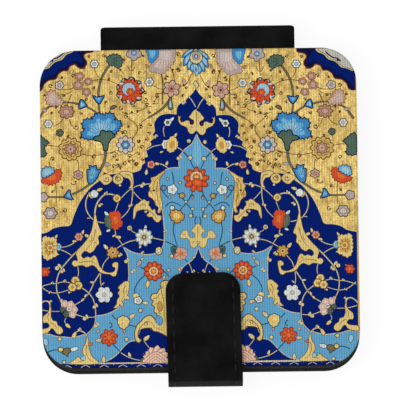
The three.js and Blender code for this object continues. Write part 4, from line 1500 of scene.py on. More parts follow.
# %% Small leaves and buds
for colour, x, y, length, turn in (
    ("white", -6.7, 22.6, 1.4, 45), ("cream", -5.8, 18.6, 1.2, 60), ("cream", -9.4, 14.3, 0.9, 20),
    ("pale gold", -10.7, 11.3, 1.3, 170), ("cream", -13.3, 9.2, 1.4, 80), ("cream", -8.1, 11.4, 1.2, 70),
    ("cream", -4.9, 22.8, 1.2, 100), ("pale gold", -25.1, 4.9, 1.5, 20),
    ("pale gold", -27.4, 3.3, 1.5, 300), ("white", -23.5, -1.3, 1.5, 130),
    ("white", -23.1, -5.6, 1.1, 200), ("cream", -20.6, -7.3, 1.5, 170), ("cream", -21.6, -6.9, 1, 30),
    ("white", -13.7, -4.9, 1.2, 80), ("white", -15.1, -9.8, 0.9, 250), ("cream", -29.5, -5.9, 1.2, 70),
    ("cream", -31.6, -8.2, 1.2, 10), ("cream", -36.2, -6.9, 1.1, 60), ("cream", -23.8, -9.7, 1.6, 130),
    ("pink", -38.2, -15, 0.8, 40), ("cream", -27.3, -18.7, 1.1, 170), ("cream", -29, -22.1, 1, 60),
    ("cream", -29.8, -23.2, 1, 230), ("pale gold", -33.5, -29.7, 1.6, 320),
    ("pale gold", -31.9, -32, 1.8, 60), ("orange", -27.9, -34.4, 1.2, 0), ("cream", -13.7, -33, 1.9, 40),
    ("sage", -14.9, -38.6, 1.3, 60), ("cream", -18.1, -37.2, 1.3, 110), ("pink", -7.5, 2.7, 0.9, 90),
    ("pink", -1.7, 2.7, 1, 90), ("lilac", -15.5, -14.1, 1.8, 240), ("pale gold", -13.3, -19.4, 1.8, 260),
    ("cream", -14, -24.1, 1.5, 170), ("cream", -17.3, -27.4, 1.8, 40), ("pink", -19.3, -31.2, 1, 270),
    ("cream", -25.9, -33.5, 1.5, 180), ("cream", -24.6, -38.3, 1.7, 90), ("white", -31.9, -35.6, 2.0, 15),
    ("pale blue", -39.1, -33.8, 2.1, 280), ("cream", -9.2, -17.8, 1.2, 250),
    ("cream", -14.6, -12.9, 0.9, 30), ("cream", -28.4, -6.9, 1.4, 330), ("cream", -26, -31.2, 0.9, 240),
):
    leaf(colour, x, y, length, turn)
print(len(painted_shapes), "shapes")

# %% Gold on lapis
scroll(whole([(-0.4, 25.1), (-1, 24.8), (-1.5, 24.3), (-1.8, 23.8), (-2.3, 23.2), (-1.9, 22.7),
    (-1.25, 22.3), (-1.1, 21.7), (-1.5, 21.1), (-2.2, 21.3), (-2.3, 22), (-3, 22.2), (-3.7, 21.9),
    (-4.4, 21.8), (-4.75, 22.6), (-4.5, 23.3), (-5, 22.9), (-5, 22.1), (-4.4, 21.2), (-3.5, 20.8),
    (-2.8, 20.3), (-2.6, 19.5), (-2, 18.9), (-1.3, 19), (-0.8, 19.6), (-0.4, 19.9)]),
    [[(-1.4, 20.5), (-2.2, 20.6), (-2, 19.7)], [(-0.45, 24.4), (-0.45, 22), (-0.45, 20.4)]], sides=False)
rosette(-1.75, 21.7, 1.1, 5, 0.05, "night", "wine", line=0)
rosette(-7.8, 21.8, 1.9, 6, 0.25, "white", "sage", line=0.08)
rosette(-8.3, 16.2, 2.5, 6, 0.25, "white", "cream", ink="night", wide=0.9)
feathered("pale gold", [(-7.6, 17.2), (-7, 18), (-6.3, 18.2), (-5.5, 16.9), (-5.4, 16), (-6, 14.9),
    (-7, 14.2), (-7.8, 14.6), (-8, 15.8)], 0.9, 0.22, 0.1, inner="deep gold", share=0.5)
rosette(-12.1, 11.1, 1.9, 5, 0.2, "pink", "red", ink="wine", heart_share=0.5)
scroll([(-8.6, 9.5), (-9.9, 8.8), (-10.7, 8.2), (-11.4, 7.9), (-12.1, 7.7), (-12, 6.9), (-12.2, 6.3),
    (-12.7, 5.7), (-12.4, 4.9), (-12.8, 3.9), (-12.7, 3), (-12.1, 2.6), (-11.4, 1.9), (-11, 0.8),
    (-10.3, 0.1), (-10.6, -1), (-10.1, -1.2), (-9.6, -0.2), (-9.5, 1.2), (-9.8, 3), (-9.9, 4.8),
    (-10.1, 6.2), (-9.9, 7.6), (-9.2, 8.6)], [[(-10.4, 7.6), (-11.2, 6.8), (-11.5, 5.4), (-11.4, 3.8)],
    [(-10.5, 6.6), (-10.8, 4.6), (-10.6, 2.6), (-10.1, 1.2)], [(-12.2, 4.6), (-12, 3.8), (-11.6, 3.2)]],
    "gold")
rosette(-11.5, 4.5, 0.6, 4, 0.05, "umber", line=0)
scroll([(-16.7, -2.8), (-16.7, -1.2), (-16.5, 0.1), (-16, 0.9), (-15.3, 1.3), (-14.7, 1.9), (-13.9, 2.2),
    (-13.3, 1.7), (-12.7, 1.7), (-12.9, 0.8), (-12.4, 0.1), (-12, -0.6), (-11.3, -0.3), (-11.1, -1.3),
    (-10.6, -1.9), (-9.8, -2), (-9.8, -2.9), (-10.6, -3.6), (-11.4, -3.1), (-12, -2.2), (-12.8, -2.2),
    (-13.3, -1.7), (-12.7, -1.2), (-13, -0.6), (-13.9, -0.3), (-15, -0.4), (-15.9, -0.8), (-16.2, -1.8)],
    [[(-14.9, 0.6), (-14.2, 1.1), (-13.6, 0.7), (-13.9, 0.2)],
    [(-13.4, -0.2), (-12.2, -1.1), (-11.4, -1.9), (-10.7, -2.8)]])
rosette(-26.5, 3.8, 2, 7, 0.14, "white", line=0.12)
rosette(-20.8, 2.6, 1.9, 4, 0.12, "pale gold", "deep gold", ink="umber")
scroll([(-26.4, -1.2), (-26.8, -3.4), (-27.1, -5), (-27.7, -6.6), (-28.3, -7.6), (-29.4, -9), (-31.2, -11),
    (-30.9, -12.5), (-30.9, -13.3), (-31.7, -13.1), (-32.3, -13.8), (-31.7, -14.6), (-30.8, -14.4),
    (-29.6, -14.3), (-28.6, -14.8), (-27.3, -14.3), (-26.3, -14.8), (-25.4, -16), (-24.3, -16.5),
    (-22.8, -16.7), (-22, -17.2), (-21.3, -17), (-21, -16), (-20.8, -15), (-20.8, -13.9), (-21.5, -13.7),
    (-22.1, -14.2), (-22, -14.8), (-21.4, -15), (-21.5, -15.8), (-22.2, -16.3), (-23.4, -16.3),
    (-24.6, -15.7), (-25.5, -14.5), (-25.8, -13.5), (-26.1, -12.6), (-26.7, -11.9), (-27.6, -12.5),
    (-28.4, -12.2), (-29.4, -12.6), (-30, -11.8), (-29.4, -10.9), (-28.6, -10.7), (-27.9, -11.2),
    (-26.8, -10.6), (-26.2, -9.5), (-25.5, -8.8), (-25.7, -7.5), (-25.4, -6.8), (-24.8, -6.5), (-25.3, -5),
    (-25.7, -3.9), (-26, -2.6)], [[(-26.3, -5.2), (-26.6, -7), (-27.4, -8.8), (-28.8, -10.4)],
    [(-27.7, -8.4), (-27.2, -7.6), (-27.3, -6.6)],
    [(-30.6, -13.7), (-29, -13.4), (-27.4, -13.4), (-26.2, -14.2)], [(-26.8, -12.6), (-27.2, -13.2)],
    [(-26.2, -8.4), (-26.8, -9)]])
feathered("green", [(-23.7, -1.9), (-22.6, -2.2), (-22, -3.4), (-21.9, -4.8), (-22.8, -5), (-23.8, -4)],
    0.9, 0.2, 0.1, inner="sage")
feathered("red", [(-22.7, -1.2), (-21.4, -0.9), (-20.2, -1.1), (-20.1, -2.6), (-19.6, -4), (-20.5, -4.8),
    (-21.5, -5.5), (-21.9, -4.4), (-22.2, -3.2), (-22.4, -2.2)], 1.0, 0.3, 0.1, "wine", inner="orange",
    share=0.4)
rosette(-14.1, -7.4, 4.7, 9, 0.24, "mist", line=0.1)
rosette(-14.1, -7.4, 4.1, 9, 0.3, "white", line=0)
rays("mist", 0.14, -14.1, -7.4, 1.1, 1.8, 20, 340, 9)
rosette(-14.1, -7.4, 2, 6, 0.2, "cream", "sage", "white", line=0.1, ink="stem", heart_share=0.6)
rosette(-17.7, -5, 1.2, 5, 0.1, "cream", "deep gold", line=0.08)
rosette(-30.5, -7.1, 2, 6, 0.2, "pink", "orange", ink="wine")
rosette(-35.7, -9.6, 1.8, 5, 0.15, "pale blue", "sky", wide=0.85, ink="teal")
feathered("pale gold", [(-39.2, -6.8), (-38.4, -7.3), (-36.6, -7.4), (-36.2, -9), (-36.4, -10.6),
    (-35.8, -11.6), (-37, -12), (-38.4, -12.8), (-39.4, -12), (-39.8, -10), (-39.6, -8)], 1.0, 0.3, 0.12,
    "umber", inner="deep gold", share=0.62)
rays("umber", 0.14, -37.8, -9.8, 0.9, 2.2, 20, 340, 9)
rosette(-37.8, -9.8, 1.8, 6, 0.15, "pale gold", "orange", line=0.08, ink="umber")
rosette(-22, -11.2, 3, 7, 0.3, "deep gold", "pale gold", "umber", ink="umber")
rosette(-10.4, -10.9, 2, 6, 0.2, "pale gold", "white", wide=0.85, ink="night", turn=20)
rosette(-39.1, -15.9, 2.3, 6, 0.25, "red", "orange", ink="wine")
for x, y in ((-31.5, -18.2), (-30.8, -19.5), (-32.3, -19.9)):
    rosette(x, y, 2, 6, 0.1, "pale gold", "deep gold", ink="umber", heart_share=0.3)
rosette(-24.3, -21.9, 4.3, 6, 0.26, "white", "pale lilac", ink="night", heart_share=0.24)
rays("mist", 0.14, -24.3, -21.9, 1.1, 1.8, 25, 335, 7)
for x, y in ((-34.7, -25.5), (-33.8, -26.7)):
    rosette(x, y, 1.7, 6, 0.2, "sage", "green", ink="night", heart_share=0.6)
for x, y in ((-34.3, -24.1), (-32.8, -24.3), (-31.9, -25.6), (-32.3, -26.8)):
    rosette(x, y, 1.9, 5, 0.2, "pale lilac", "blush", line=0.06, ink="rose", heart_share=0.6)
rosette(-33.2, -25.4, 1.2, 5, 0.15, "white", "rose", line=0.06, ink="rose")
vine("vine", 0.3, [(-41, -24.6), (-40.2, -23.8), (-39.2, -23.3), (-38.2, -23.7), (-37.9, -25)], 0.9, 3)
scroll([(-38.1, -24.4), (-38.1, -25.4), (-38.6, -26.4), (-39.5, -27.1), (-39.8, -28), (-39.6, -28.8),
    (-38.7, -28.8), (-38.1, -29.6), (-38.8, -30.3), (-41, -30.6), (-41, -31.8), (-38.6, -31.3),
    (-37.8, -30.3), (-37.1, -30.5), (-36.5, -31.4), (-35.6, -31.8), (-34.8, -31.1), (-35.2, -30.1),
    (-36.1, -29.5), (-36.4, -28.6), (-37.3, -28.3), (-37.8, -27.1), (-37.7, -25.4)],
    [[(-38.2, -26.4), (-38.6, -27.4), (-38.3, -28.4)], [(-37.9, -28.8), (-37, -29.3), (-36.2, -30.4)]])
for x, y, turn in (
    (-14.4, -37.6, 165), (-13.8, -36.6, 142), (-12.8, -35.6, 115), (-10.9, -35.2, 85), (-9.3, -36, 55),
    (-8.6, -37.1, 30),
):
    leaf("blush", (x - 11.5) / 2, (y - 38.6) / 2, 1.15 * math.dist((x, y), (-11.5, -38.6)), turn, 0.62,
        0.12, "wine")
motif("blush", [(-14.6, -39.2), (-13.6, -37.8), (-12.6, -37), (-11.4, -36.6), (-10.2, -37), (-9.2, -37.8),
    (-8.2, -39.2)], line=0.1, ink="wine")
for radius in (0.8, 1.5, 2.2):
    vine("rose", 0.2,
        [(-11.5 - 1.2 * radius, -39.1), (-11.5, -39.3 + radius), (-11.5 + 1.2 * radius, -39.1)], 1, 4)
rays("rose", 0.18, -11.5, -39.2, 2.6, 3.9, 35, 145, 6)
print(len(painted_shapes), "shapes")

# %% [markdown]
# ## Under the strap
# The closed strap hides this part. It follows the medallion with a few quiet vines.

# %% Under the strap
for points in (
    [(-1.4, -19.6), (-3, -20.4), (-3.6, -19.2), (-3.2, -18.2)], [(-3.3, -16.2), (-3, -17.2), (-2, -17.6)],
    [(-0.9, -20.6), (-1, -22.4), (-0.6, -24.4)],
    [(-1.2, -36.2), (-3.2, -35.2), (-5.4, -35.4), (-7.4, -36.4)],
    [(-1, -34.6), (-1.4, -33), (-3, -32.3), (-4.2, -33)],
):
    vine("vine", 0.28, points, 0.7, 3)
rosette(-0.5, -18.4, 3.8, 8, 0.28, "white", "sage", "cream", ink="night", heart_share=0.5, sides=False)
rosette(-0.5, -36, 4.6, 10, 0.34, "red", ink="wine", sides=False)
rosette(-0.5, -36, 2.1, 8, 0.1, "cream", "orange", "cream", line=0.12, ink="wine", heart_share=0.6,
    sides=False)
for x, y, length, turn in (
    (-3.6, -19.2, 1.4, 110), (-2.2, -22.6, 1.2, 40), (-4.3, -33.2, 1.4, 250), (-5.4, -35, 1.2, 150),
    (-3.4, -37.6, 1.6, 200),
):
    leaf("cream", x, y, length, turn)
for x, y in ((-3.8, -25.6), (-3, -28.4), (-5.6, -23.4)):
    rosette(x, y, 1.5, 5, 0.2, "pale gold", "orange", line=0.12)
print(len(painted_shapes), "shapes")

# %% [markdown]
# ## The turquoise field
# The flowers here are larger and redder, on thin teal stems. The last scrolls cross the edge
# of the field, so they are drawn after it.

# %% Turquoise field
motif("sky", whole([(-0.4, 18.2), (-0.4, 18.2), (-1.2, 16.4), (-1.6, 14), (-1.5, 12), (-0.4, 10.6)]),
    line=0.08, ink="azure", sides=False)
for points in (
    [(-6.9, 9.2), (-6.5, 7.6), (-6.4, 6)], [(-6.4, -3.4), (-6.7, -5.6), (-6.3, -7.8), (-5.7, -9.8)],
    [(-5.6, 3.8), (-4, 2.1), (-3.2, 0.9), (-2, -0.6), (-1.6, -2.6)],
    [(-2, 3.4), (-3, 1.6), (-4.4, 0), (-5, -0.9)],
    [(-3.9, 14.3), (-2.8, 13), (-2.2, 12), (-1.7, 10.8), (-1.2, 9.9)],
    [(-8.7, -8.5), (-7.2, -9.2), (-5.9, -9.9)], [(-9.6, 5), (-8.8, 3.6), (-8, 2.6)],
    [(-14.2, -17.3), (-15.6, -18.6), (-16.6, -20.6), (-16.4, -22)],
    [(-9.6, -16), (-8.6, -16.6), (-7.9, -17.6)], [(-15.2, -15), (-14.4, -15.3), (-13.6, -15.3)],
    [(-4.2, -12.9), (-3.2, -13.8)], [(-18.2, -29.6), (-17, -30), (-16, -30)],
    [(-22.4, -34.4), (-21.2, -35.6), (-20.2, -36.8)], [(-38.8, -36.4), (-37.2, -35.8), (-35.6, -35.8)],
    [(-22.4, -27), (-21.6, -28), (-20.6, -28.4)],
    [(-23, -30.4), (-22.4, -29.8), (-22.8, -29), (-23.2, -29.2)], [(-1.6, 4.6), (-1.9, 3.6), (-1.4, 2.6)],
    [(-0.9, -2.2), (-1.2, -3.4), (-1, -4.6)], [(-8.6, 0.4), (-7.4, 1.4), (-6, 1.2), (-4.6, 0.4)],
):
    vine("teal", 0.3, points, 0.8, 3)
rosette(-0.7, 7.1, 6.4, 9, 0.36, "red", turn=10, line=0.24, ink="wine", sides=False)
rays("orange", 0.34, -0.7, 7.1, 1.6, 2.7, 10, 330, 9, sides=False)
rays("wine", 0.18, -0.7, 7.1, 1.5, 2.5, 30, 350, 9, sides=False)
rosette(-0.7, 7.7, 3.1, 9, 0.08, "cream", "orange", "cream", line=0.12, heart_share=0.62, core_share=0.3,
    ink="wine", sides=False)
motif("red", whole([(-0.4, 7.3), (-1.1, 7.5), (-1.8, 6.6), (-1.3, 5.6), (-0.4, 5.4)]), line=0.1,
    ink="wine", inner="orange", sides=False)
rosette(-6.8, 4.7, 2.6, 5, 0.24, "white", "cream", line=0.22, ink="teal", heart_share=0.2)
rosette(-9, 5.1, 1.3, 6, 0.15, "azure", "lilac", ink="teal")
rosette(-4.4, 3.1, 1.3, 5, 0.15, "deep gold", "cream")
feathered("deep gold", [(-7.2, -1), (-6.2, -0.8), (-4.8, -1.2), (-4, -2.6), (-4.8, -3), (-5.6, -3.8),
    (-6.4, -3.2), (-7.1, -2.6)], 1.1, 0.32, 0.24, inner="pale gold", share=0.5)
rosette(-6.9, 0, 1, 5, 0.1, "white")
for x, y, size in (
    (-2.3, -2.1, 0.9), (-1.8, -0.3, 0.7), (-4.9, 6.4, 0.6), (-2.2, 12.7, 1), (-2.5, 17, 0.9),
    (-7.2, -12.3, 0.9), (-8, -15.9, 0.7), (-15.2, -26, 0.9), (-35.6, -33, 0.9), (-34.6, -38.9, 0.8),
    (-18.8, -33.3, 0.9), (-3.4, 1.5, 0.6), (-8, 7.4, 0.5),
):
    rosette(x, y, size, 5, 0.12, "cream", line=0.2, ink="teal")
scroll(whole([(-0.4, -4), (-1, -4.4), (-1.5, -5.2), (-2.2, -5.9), (-1.5, -6.4), (-1.15, -7.1),
    (-1.6, -7.7), (-2.3, -7.7), (-2.9, -7.1), (-3, -6.2), (-3.6, -5.8), (-4.3, -6.1), (-5, -7.4),
    (-4.2, -7.8), (-3.3, -7.7), (-2.7, -8.3), (-2.5, -9.3), (-2.1, -10), (-1.4, -10.2), (-0.8, -9.6),
    (-0.4, -9.2)]),
    [[(-0.5, -5), (-0.5, -7.6)], [(-1.5, -8.6), (-1.9, -9.2)], [(-4.2, -6.9), (-3.6, -6.8)]], ink="stem",
    sides=False)
curl("umber", 0.15, -0.5, -9, 0.5, 0, 330, sides=False)

motif("green", [(-7.2, -10), (-6, -10), (-5.8, -11.4), (-6.6, -12), (-7.2, -11)], inner="teal")
feathered("pink", [(-5.8, -10.3), (-4.6, -10.4), (-3.5, -10.8), (-3.4, -12), (-4, -12.8), (-5, -13.2),
    (-6.2, -12.9), (-6.5, -12.2), (-5.8, -11.6)], 1.1, 0.3, 0.13, "wine", inner="orange", share=0.35)
rays("wine", 0.14, -5, -11.8, 0.5, 1.3, 20, 340, 6)
rosette(-11.8, -16.1, 4.9, 9, 0.24, "red", line=0.24, ink="wine")
rays("orange", 0.3, -11.8, -16.1, 1.2, 2, 0, 320, 9)
rays("wine", 0.2, -11.8, -16.1, 1.2, 2.2, 20, 340, 9)
rosette(-11.8, -16.1, 2.3, 8, 0.1, "cream", "orange", "cream", line=0.12, ink="wine", heart_share=0.6,
    core_share=0.22)
rosette(-16.3, -22.4, 1.7, 5, 0.2, "pale gold", line=0.12)
rosette(-15.8, -23.5, 1.9, 5, 0.25, "white", "pale lilac", wide=1.1)
scroll([(-18.1, -18.7), (-19, -18.6), (-19.7, -19.1), (-20.7, -20.1), (-20.3, -20.8), (-20.8, -21.5),
    (-20.4, -22.3), (-21, -23.3), (-21.2, -24.4), (-22, -25.3), (-22, -25.3), (-20.9, -25.1),
    (-20.4, -24.3), (-19.8, -25.1), (-19.6, -24.3), (-19.8, -23.6), (-18.9, -23), (-18.1, -23.2),
    (-18, -22.6), (-18.5, -22.2), (-18.2, -21), (-18, -19.5)],
    [[(-18.8, -19.6), (-19.5, -20.8), (-19.3, -22.2), (-20.2, -23.8)], [(-18.6, -20.8), (-18.9, -21.6)]])
feathered("pale gold", [(-20.8, -28.2), (-19.8, -27.5), (-18.8, -27.8), (-18.1, -28.6), (-18.7, -30),
    (-19.6, -30.6), (-20.6, -29.6)], 1.1, 0.22, 0.24, "teal", inner="gold", share=0.5)
scroll([(-8, -18.8), (-8.8, -18.6), (-9.6, -18.8), (-10.1, -19.5), (-9.8, -20.2), (-10.5, -21),
    (-11, -21.9), (-12, -21.9), (-12.6, -22.9), (-11.8, -23.6), (-12.2, -24.5), (-11.5, -25.2),
    (-11.7, -26.2), (-11, -26.9), (-10.9, -27.7), (-11.4, -28.6), (-12.1, -27.9), (-12.9, -27.4),
    (-13.9, -27.7), (-15, -28.8), (-16, -29.8), (-16.5, -31), (-16.6, -32.6), (-16.3, -33.8),
    (-15.6, -34.1), (-15.2, -33.5), (-15.9, -32.9), (-15.9, -31.4), (-14.8, -30.6), (-13.4, -30.4),
    (-12.4, -30.5), (-12, -31.2), (-11, -31.4), (-9.8, -31.9), (-8.6, -32.6), (-7.4, -33.3), (-6.6, -32.4),
    (-7, -31), (-6.6, -29.4), (-7.4, -27.8), (-7, -26), (-7.7, -24.4), (-7.2, -22.6), (-7.6, -20.6)],
    [[(-15.9, -32), (-15.4, -30.4), (-13.6, -28.9), (-12.4, -29.2), (-11.6, -30.4), (-9.4, -31.2)],
    [(-9.4, -19.8), (-9.9, -21.2), (-9.4, -23.2), (-9.2, -26), (-9, -29)],
    [(-12, -23), (-11, -22.8), (-10.4, -21.8)], [(-11.6, -24.6), (-11, -24.2)],
    [(-10.8, -26.6), (-10, -27)]], line=0.24)
curl("umber", 0.17, -13.7, -29.3, 0.6, 250, -300)
motif("turquoise",
    [(-11, -27.6), (-10.3, -27.5), (-9.6, -28.6), (-10.2, -29.8), (-11, -29.4), (-11.5, -28.7)],
    ink="umber", line=0.12)
motif("deep gold", [(-10.5, -23.8), (-9.8, -24.6), (-9.8, -25.8), (-10.4, -26.3), (-10.9, -25.2)],
    ink="umber", line=0.13)
scroll([(-28.7, -32.4), (-29, -34), (-29.6, -35), (-29.9, -36.4), (-29.4, -37.3), (-29.6, -38.5),
    (-30.4, -38.3), (-31, -37.6), (-31.7, -38.2), (-32.7, -38.9), (-32.9, -39.4), (-26, -39.4),
    (-27.3, -37.9), (-28.1, -36.4), (-28.4, -34.8), (-28.4, -33.6)],
    [[(-28.8, -34.6), (-29, -36.4), (-28.4, -38), (-27.2, -39)], [(-30.8, -38.8), (-29.4, -38.6)]])
rosette(-29.7, -38, 1.1, 5, 0.1, "pale blue", ink="teal", line=0.12)
rosette(-23.2, -32.8, 4.3, 7, 0.38, "red", turn=12, line=0.24, ink="wine")
rays("orange", 0.3, -23.2, -32.8, 0.5, 1.5, 38, 346, 7)
rays("wine", 0.18, -23.2, -32.8, 0.7, 1.6, 12, 320, 7)
rosette(-23.2, -32.8, 1.2, 6, 0.1, "orange", line=0.08, ink="wine")
motif("sage", [(-35, -36.6), (-34.6, -35.6), (-33.4, -35.4), (-32.9, -36), (-33.6, -36.9), (-33.7, -37.5),
    (-34.2, -37)], inner="brown")
rosette(-35.4, -35.7, 1.1, 5, 0.1, "pale gold")
print(len(painted_shapes), "shapes")

# %% [markdown]
# ## Canvas from the drawing
# A constrained triangulation cuts all the shapes into one flat mesh that keeps every outline.
# Each triangle takes the colour of the topmost shape over it. The rings near the panel's edge
# let the canvas turn down over the board. A wall and a back face close the piece.

# %% Printed canvas
RIM_WIDTH_MM = 0.6
RIM_DROP = mm(0.42)
RIM_RINGS = 4
CORNER_STEPS = 24

half_x = panel_width / 2 / MM
half_y = panel_depth / 2 / MM
corner_mm = cover_corner / MM


def panel_ring(inset):
    """The panel's outline moved inwards, in millimetres."""
    loop = []
    for quarter, (way_x, way_y) in enumerate(((1, 1), (-1, 1), (-1, -1), (1, -1))):
        for step in range(CORNER_STEPS + 1):
            angle = math.radians(90 * (quarter + step / CORNER_STEPS))
            x = way_x * (half_x - corner_mm) + (corner_mm - inset) * math.cos(angle)
            loop.append((x, way_y * (half_y - corner_mm) + (corner_mm - inset) * math.sin(angle)))
    return loop


def depth_inside(x, y):
    """How far a point of the panel is from its edge, in millimetres."""
    over_x = abs(x) - half_x + corner_mm
    over_y = abs(y) - half_y + corner_mm
    if over_x > 0 and over_y > 0:
        return corner_mm - math.hypot(over_x, over_y)
    return corner_mm - max(over_x, over_y)


def is_inside(loop, spots):
    """Which of the spots lie inside the loop, by how often it winds round them."""
    turns = numpy.zeros(len(spots), dtype=int)
    for (ax, ay), (bx, by) in zip(loop, loop[1:] + loop[:1]):
        side = (bx - ax) * (spots[:, 1] - ay) - (spots[:, 0] - ax) * (by - ay)
        turns += (ay <= spots[:, 1]) & (spots[:, 1] < by) & (side > 0)
        turns -= (by <= spots[:, 1]) & (spots[:, 1] < ay) & (side < 0)
    return turns != 0


print("the panel's outline has", len(panel_ring(0)), "points")

# %% One flat mesh of every outline
MERGE_DISTANCE = 1e-5

corner_spots = []
outline_edges = []
outlines = [loop for colour, loop in painted_shapes]
outlines += [panel_ring(RIM_WIDTH_MM * step / RIM_RINGS) for step in range(RIM_RINGS + 1)]
for loop in outlines:
    first = len(corner_spots)
    corner_spots += [Vector(point) for point in loop]
    outline_edges += [(first + step, first + (step + 1) % len(loop)) for step in range(len(loop))]
cut_up = delaunay_2d_cdt(corner_spots, outline_edges, [], 0, MERGE_DISTANCE)
flat_spots = cut_up[0]
flat_faces = cut_up[2]
print(len(outlines), "outlines cut the plane into", len(flat_faces), "triangles")

# %% The colour on top
flat_array = numpy.array([tuple(spot) for spot in flat_spots])
face_array = numpy.array(flat_faces)
middles = flat_array[face_array].mean(axis=1)
on_panel = is_inside(panel_ring(0), middles)
top_shape = numpy.zeros(len(middles), dtype=int)
for index, (colour, loop) in enumerate(painted_shapes):
    loop_array = numpy.array(loop)
    low = loop_array.min(axis=0)
    high = loop_array.max(axis=0)
    close = numpy.flatnonzero(((middles > low) & (middles < high)).all(axis=1))
    top_shape[close[is_inside(loop, middles[close])]] = index

used, canvas_corners = numpy.unique(face_array[on_panel], return_inverse=True)
canvas_spots = []
for x, y in flat_array[used]:
    fall = max(0.0, 1 - depth_inside(x, y) / RIM_WIDTH_MM)
    canvas_spots.append((mm(x), mm(y), closed_top - RIM_DROP * fall ** 2))
canvas_faces = [tuple(face) for face in canvas_corners.reshape(-1, 3).tolist()]
face_colours = [painted_shapes[index][0] for index in top_shape[on_panel]]
print(len(canvas_faces), "triangles of", len(set(face_colours)), "colours")

# %% The canvas as a closed piece
walks = {(a, b) for face in canvas_faces for a, b in zip(face, face[1:] + face[:1])}
next_corner = {a: b for a, b in walks if (b, a) not in walks}
rim = [min(next_corner)]
while next_corner[rim[-1]] != rim[0]:
    rim.append(next_corner[rim[-1]])
below = len(canvas_spots)
canvas_spots += [(*canvas_spots[index][:2], panel_low.z) for index in rim]
for step in range(len(rim)):
    after = (step + 1) % len(rim)
    canvas_faces.append((rim[after], rim[step], below + step, below + after))
    face_colours.append("side")
canvas_faces.append(tuple(range(below + len(rim) - 1, below - 1, -1)))
face_colours.append("side")

canvas_mesh = bpy.data.meshes.new("front_print_canvas")
canvas_mesh.from_pydata(canvas_spots, [], canvas_faces)
front_print = bpy.data.objects.new("front_print_canvas", canvas_mesh)
bpy.context.scene.collection.objects.link(front_print)
print("the canvas is closed with", len(rim), "side faces and a back face")

# %% [markdown]
# Each corner of a face holds its ink as light, and how far that ink may wear. A flat map
# spreads front, side and back without overlaps, for tools that keep a finish as a picture.

# %% Ink and map
MAP_SPAN = 0.94
MAP_MARGIN = 0.005
SIDE_SPREAD = 1.01
BACK_MAP_SPAN = 0.03
MAP_SPARE_MM = 2
WEAR_SHARES = {"gold": 0.8, "lapis": 0, "night": 0, "turquoise": 0.12, "sky": 0.12, "azure": 0.12}
OTHER_WEAR = 0.25


def to_linear(value):
    """A screen value from 0 to 255 as light, by the standard curve of screens."""
    value /= 255
    return value / 12.92 if value <= 0.04045 else ((value + 0.055) / 1.055) ** 2.4


ink_layer = canvas_mesh.color_attributes.new("ink", 'FLOAT_COLOR', 'CORNER')
print_map = canvas_mesh.uv_layers.new(name="OFBake")
light_of = {
    name: (*[to_linear(value) for value in colour], WEAR_SHARES.get(name, OTHER_WEAR))
    for name, colour in COLOURS.items()
}
map_scale = MAP_SPAN / mm(2 * half_y + MAP_SPARE_MM)
back_scale = BACK_MAP_SPAN / mm(2 * half_y + MAP_SPARE_MM)
for polygon in canvas_mesh.polygons:
    is_back = polygon.index == len(canvas_faces) - 1
    for corner in polygon.loop_indices:
        index = canvas_mesh.loops[corner].vertex_index
        x, y, _ = canvas_spots[index]
        ink_layer.data[corner].color = light_of[face_colours[polygon.index]]
        spread = SIDE_SPREAD if index >= below else 1.0
        u = MAP_MARGIN + MAP_SPAN / 2 + x * spread * map_scale
        v = 0.5 + y * spread * map_scale
        if is_back:
            u = 1 - BACK_MAP_SPAN + x * back_scale
            v = 0.5 + y * back_scale
        print_map.data[corner].uv = (u, v)
print(len(painted_shapes), "shapes,", len(canvas_mesh.polygons), "faces on the canvas")

# %% [markdown]
# The ink lies in a plain weave. Two waves across each other give the threads. Three noises
# wear the ink: patches drawn out down the cloth, wide faint clouds, and fine specks. The
# fourth number of the ink says how far: the gold ground is worn most, and the lapis stays
# clean. Printed canvas is matte, with hardly any sheen.

# %% Canvas finish
THREAD_PITCH = mm(0.62)
THREAD_DEPTH = mm(0.05)
THREAD_UNEVENNESS = 0.6
WAVE_TURN = 20
PATCH_SCALE = 1000
WIDE_CLOUD_SCALE = 130
SPECK_SCALE = 2600
CANVAS_SMOOTHING = 40

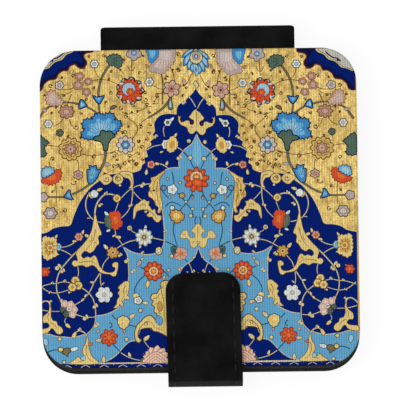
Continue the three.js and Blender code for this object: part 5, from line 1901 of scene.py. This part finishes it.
printed_canvas, canvas_tree, canvas_shader = new_finish("printed_canvas", roughness=0.9, specular=0.04)
ink = canvas_tree.nodes.new("ShaderNodeAttribute")
ink.attribute_name = "ink"
threads = []
for direction in ('X', 'Y'):
    place = canvas_tree.nodes.new("ShaderNodeTexCoord")
    wave = canvas_tree.nodes.new("ShaderNodeTexWave")
    wave.bands_direction = direction
    wave.inputs["Scale"].default_value = 2 * math.pi / (WAVE_TURN * THREAD_PITCH)
    wave.inputs["Distortion"].default_value = THREAD_UNEVENNESS
    wave.inputs["Detail"].default_value = 1.0
    canvas_tree.links.new(place.outputs["Object"], wave.inputs["Vector"])
    threads.append(wave.outputs["Fac"])
ribs = ramp(canvas_tree, threads[0], 0.0, (0.79, 0.76, 0.71), 0.85, (1.06, 1.06, 1.06))
picks = ramp(canvas_tree, threads[1], 0.0, (0.94, 0.93, 0.92), 0.85, (1.02, 1.02, 1.02))
wear = object_noise(canvas_tree, PATCH_SCALE, 4, (1.0, 0.45, 1.0))
worn = ramp(canvas_tree, wear, 0.34, (0.58, 0.50, 0.40), 0.56, (1.06, 1.06, 1.06))
woven = multiply(canvas_tree, multiply(canvas_tree, ink.outputs["Color"], ribs), picks)
clouds = object_noise(canvas_tree, WIDE_CLOUD_SCALE, 3, (1.0, 0.6, 1.0))
faded = ramp(canvas_tree, clouds, 0.34, (0.79, 0.72, 0.62), 0.62, (1.05, 1.05, 1.05))
specks = object_noise(canvas_tree, SPECK_SCALE, 2)
grainy = ramp(canvas_tree, specks, 0.36, (0.66, 0.60, 0.50), 0.62, (1.16, 1.15, 1.12))
aged = multiply(canvas_tree, woven, multiply(canvas_tree, multiply(canvas_tree, worn, faded), grainy))
canvas_tree.links.new(ink.outputs["Alpha"], aged.node.inputs["Factor"])
canvas_tree.links.new(aged, canvas_shader.inputs["Base Color"])
bump(canvas_tree, canvas_shader, threads[0], THREAD_DEPTH, strength=0.5)
smooth(front_print, CANVAS_SMOOTHING)
dress(front_print, printed_canvas, "printed_canvas", "front_cover", ["front_print_panel"])
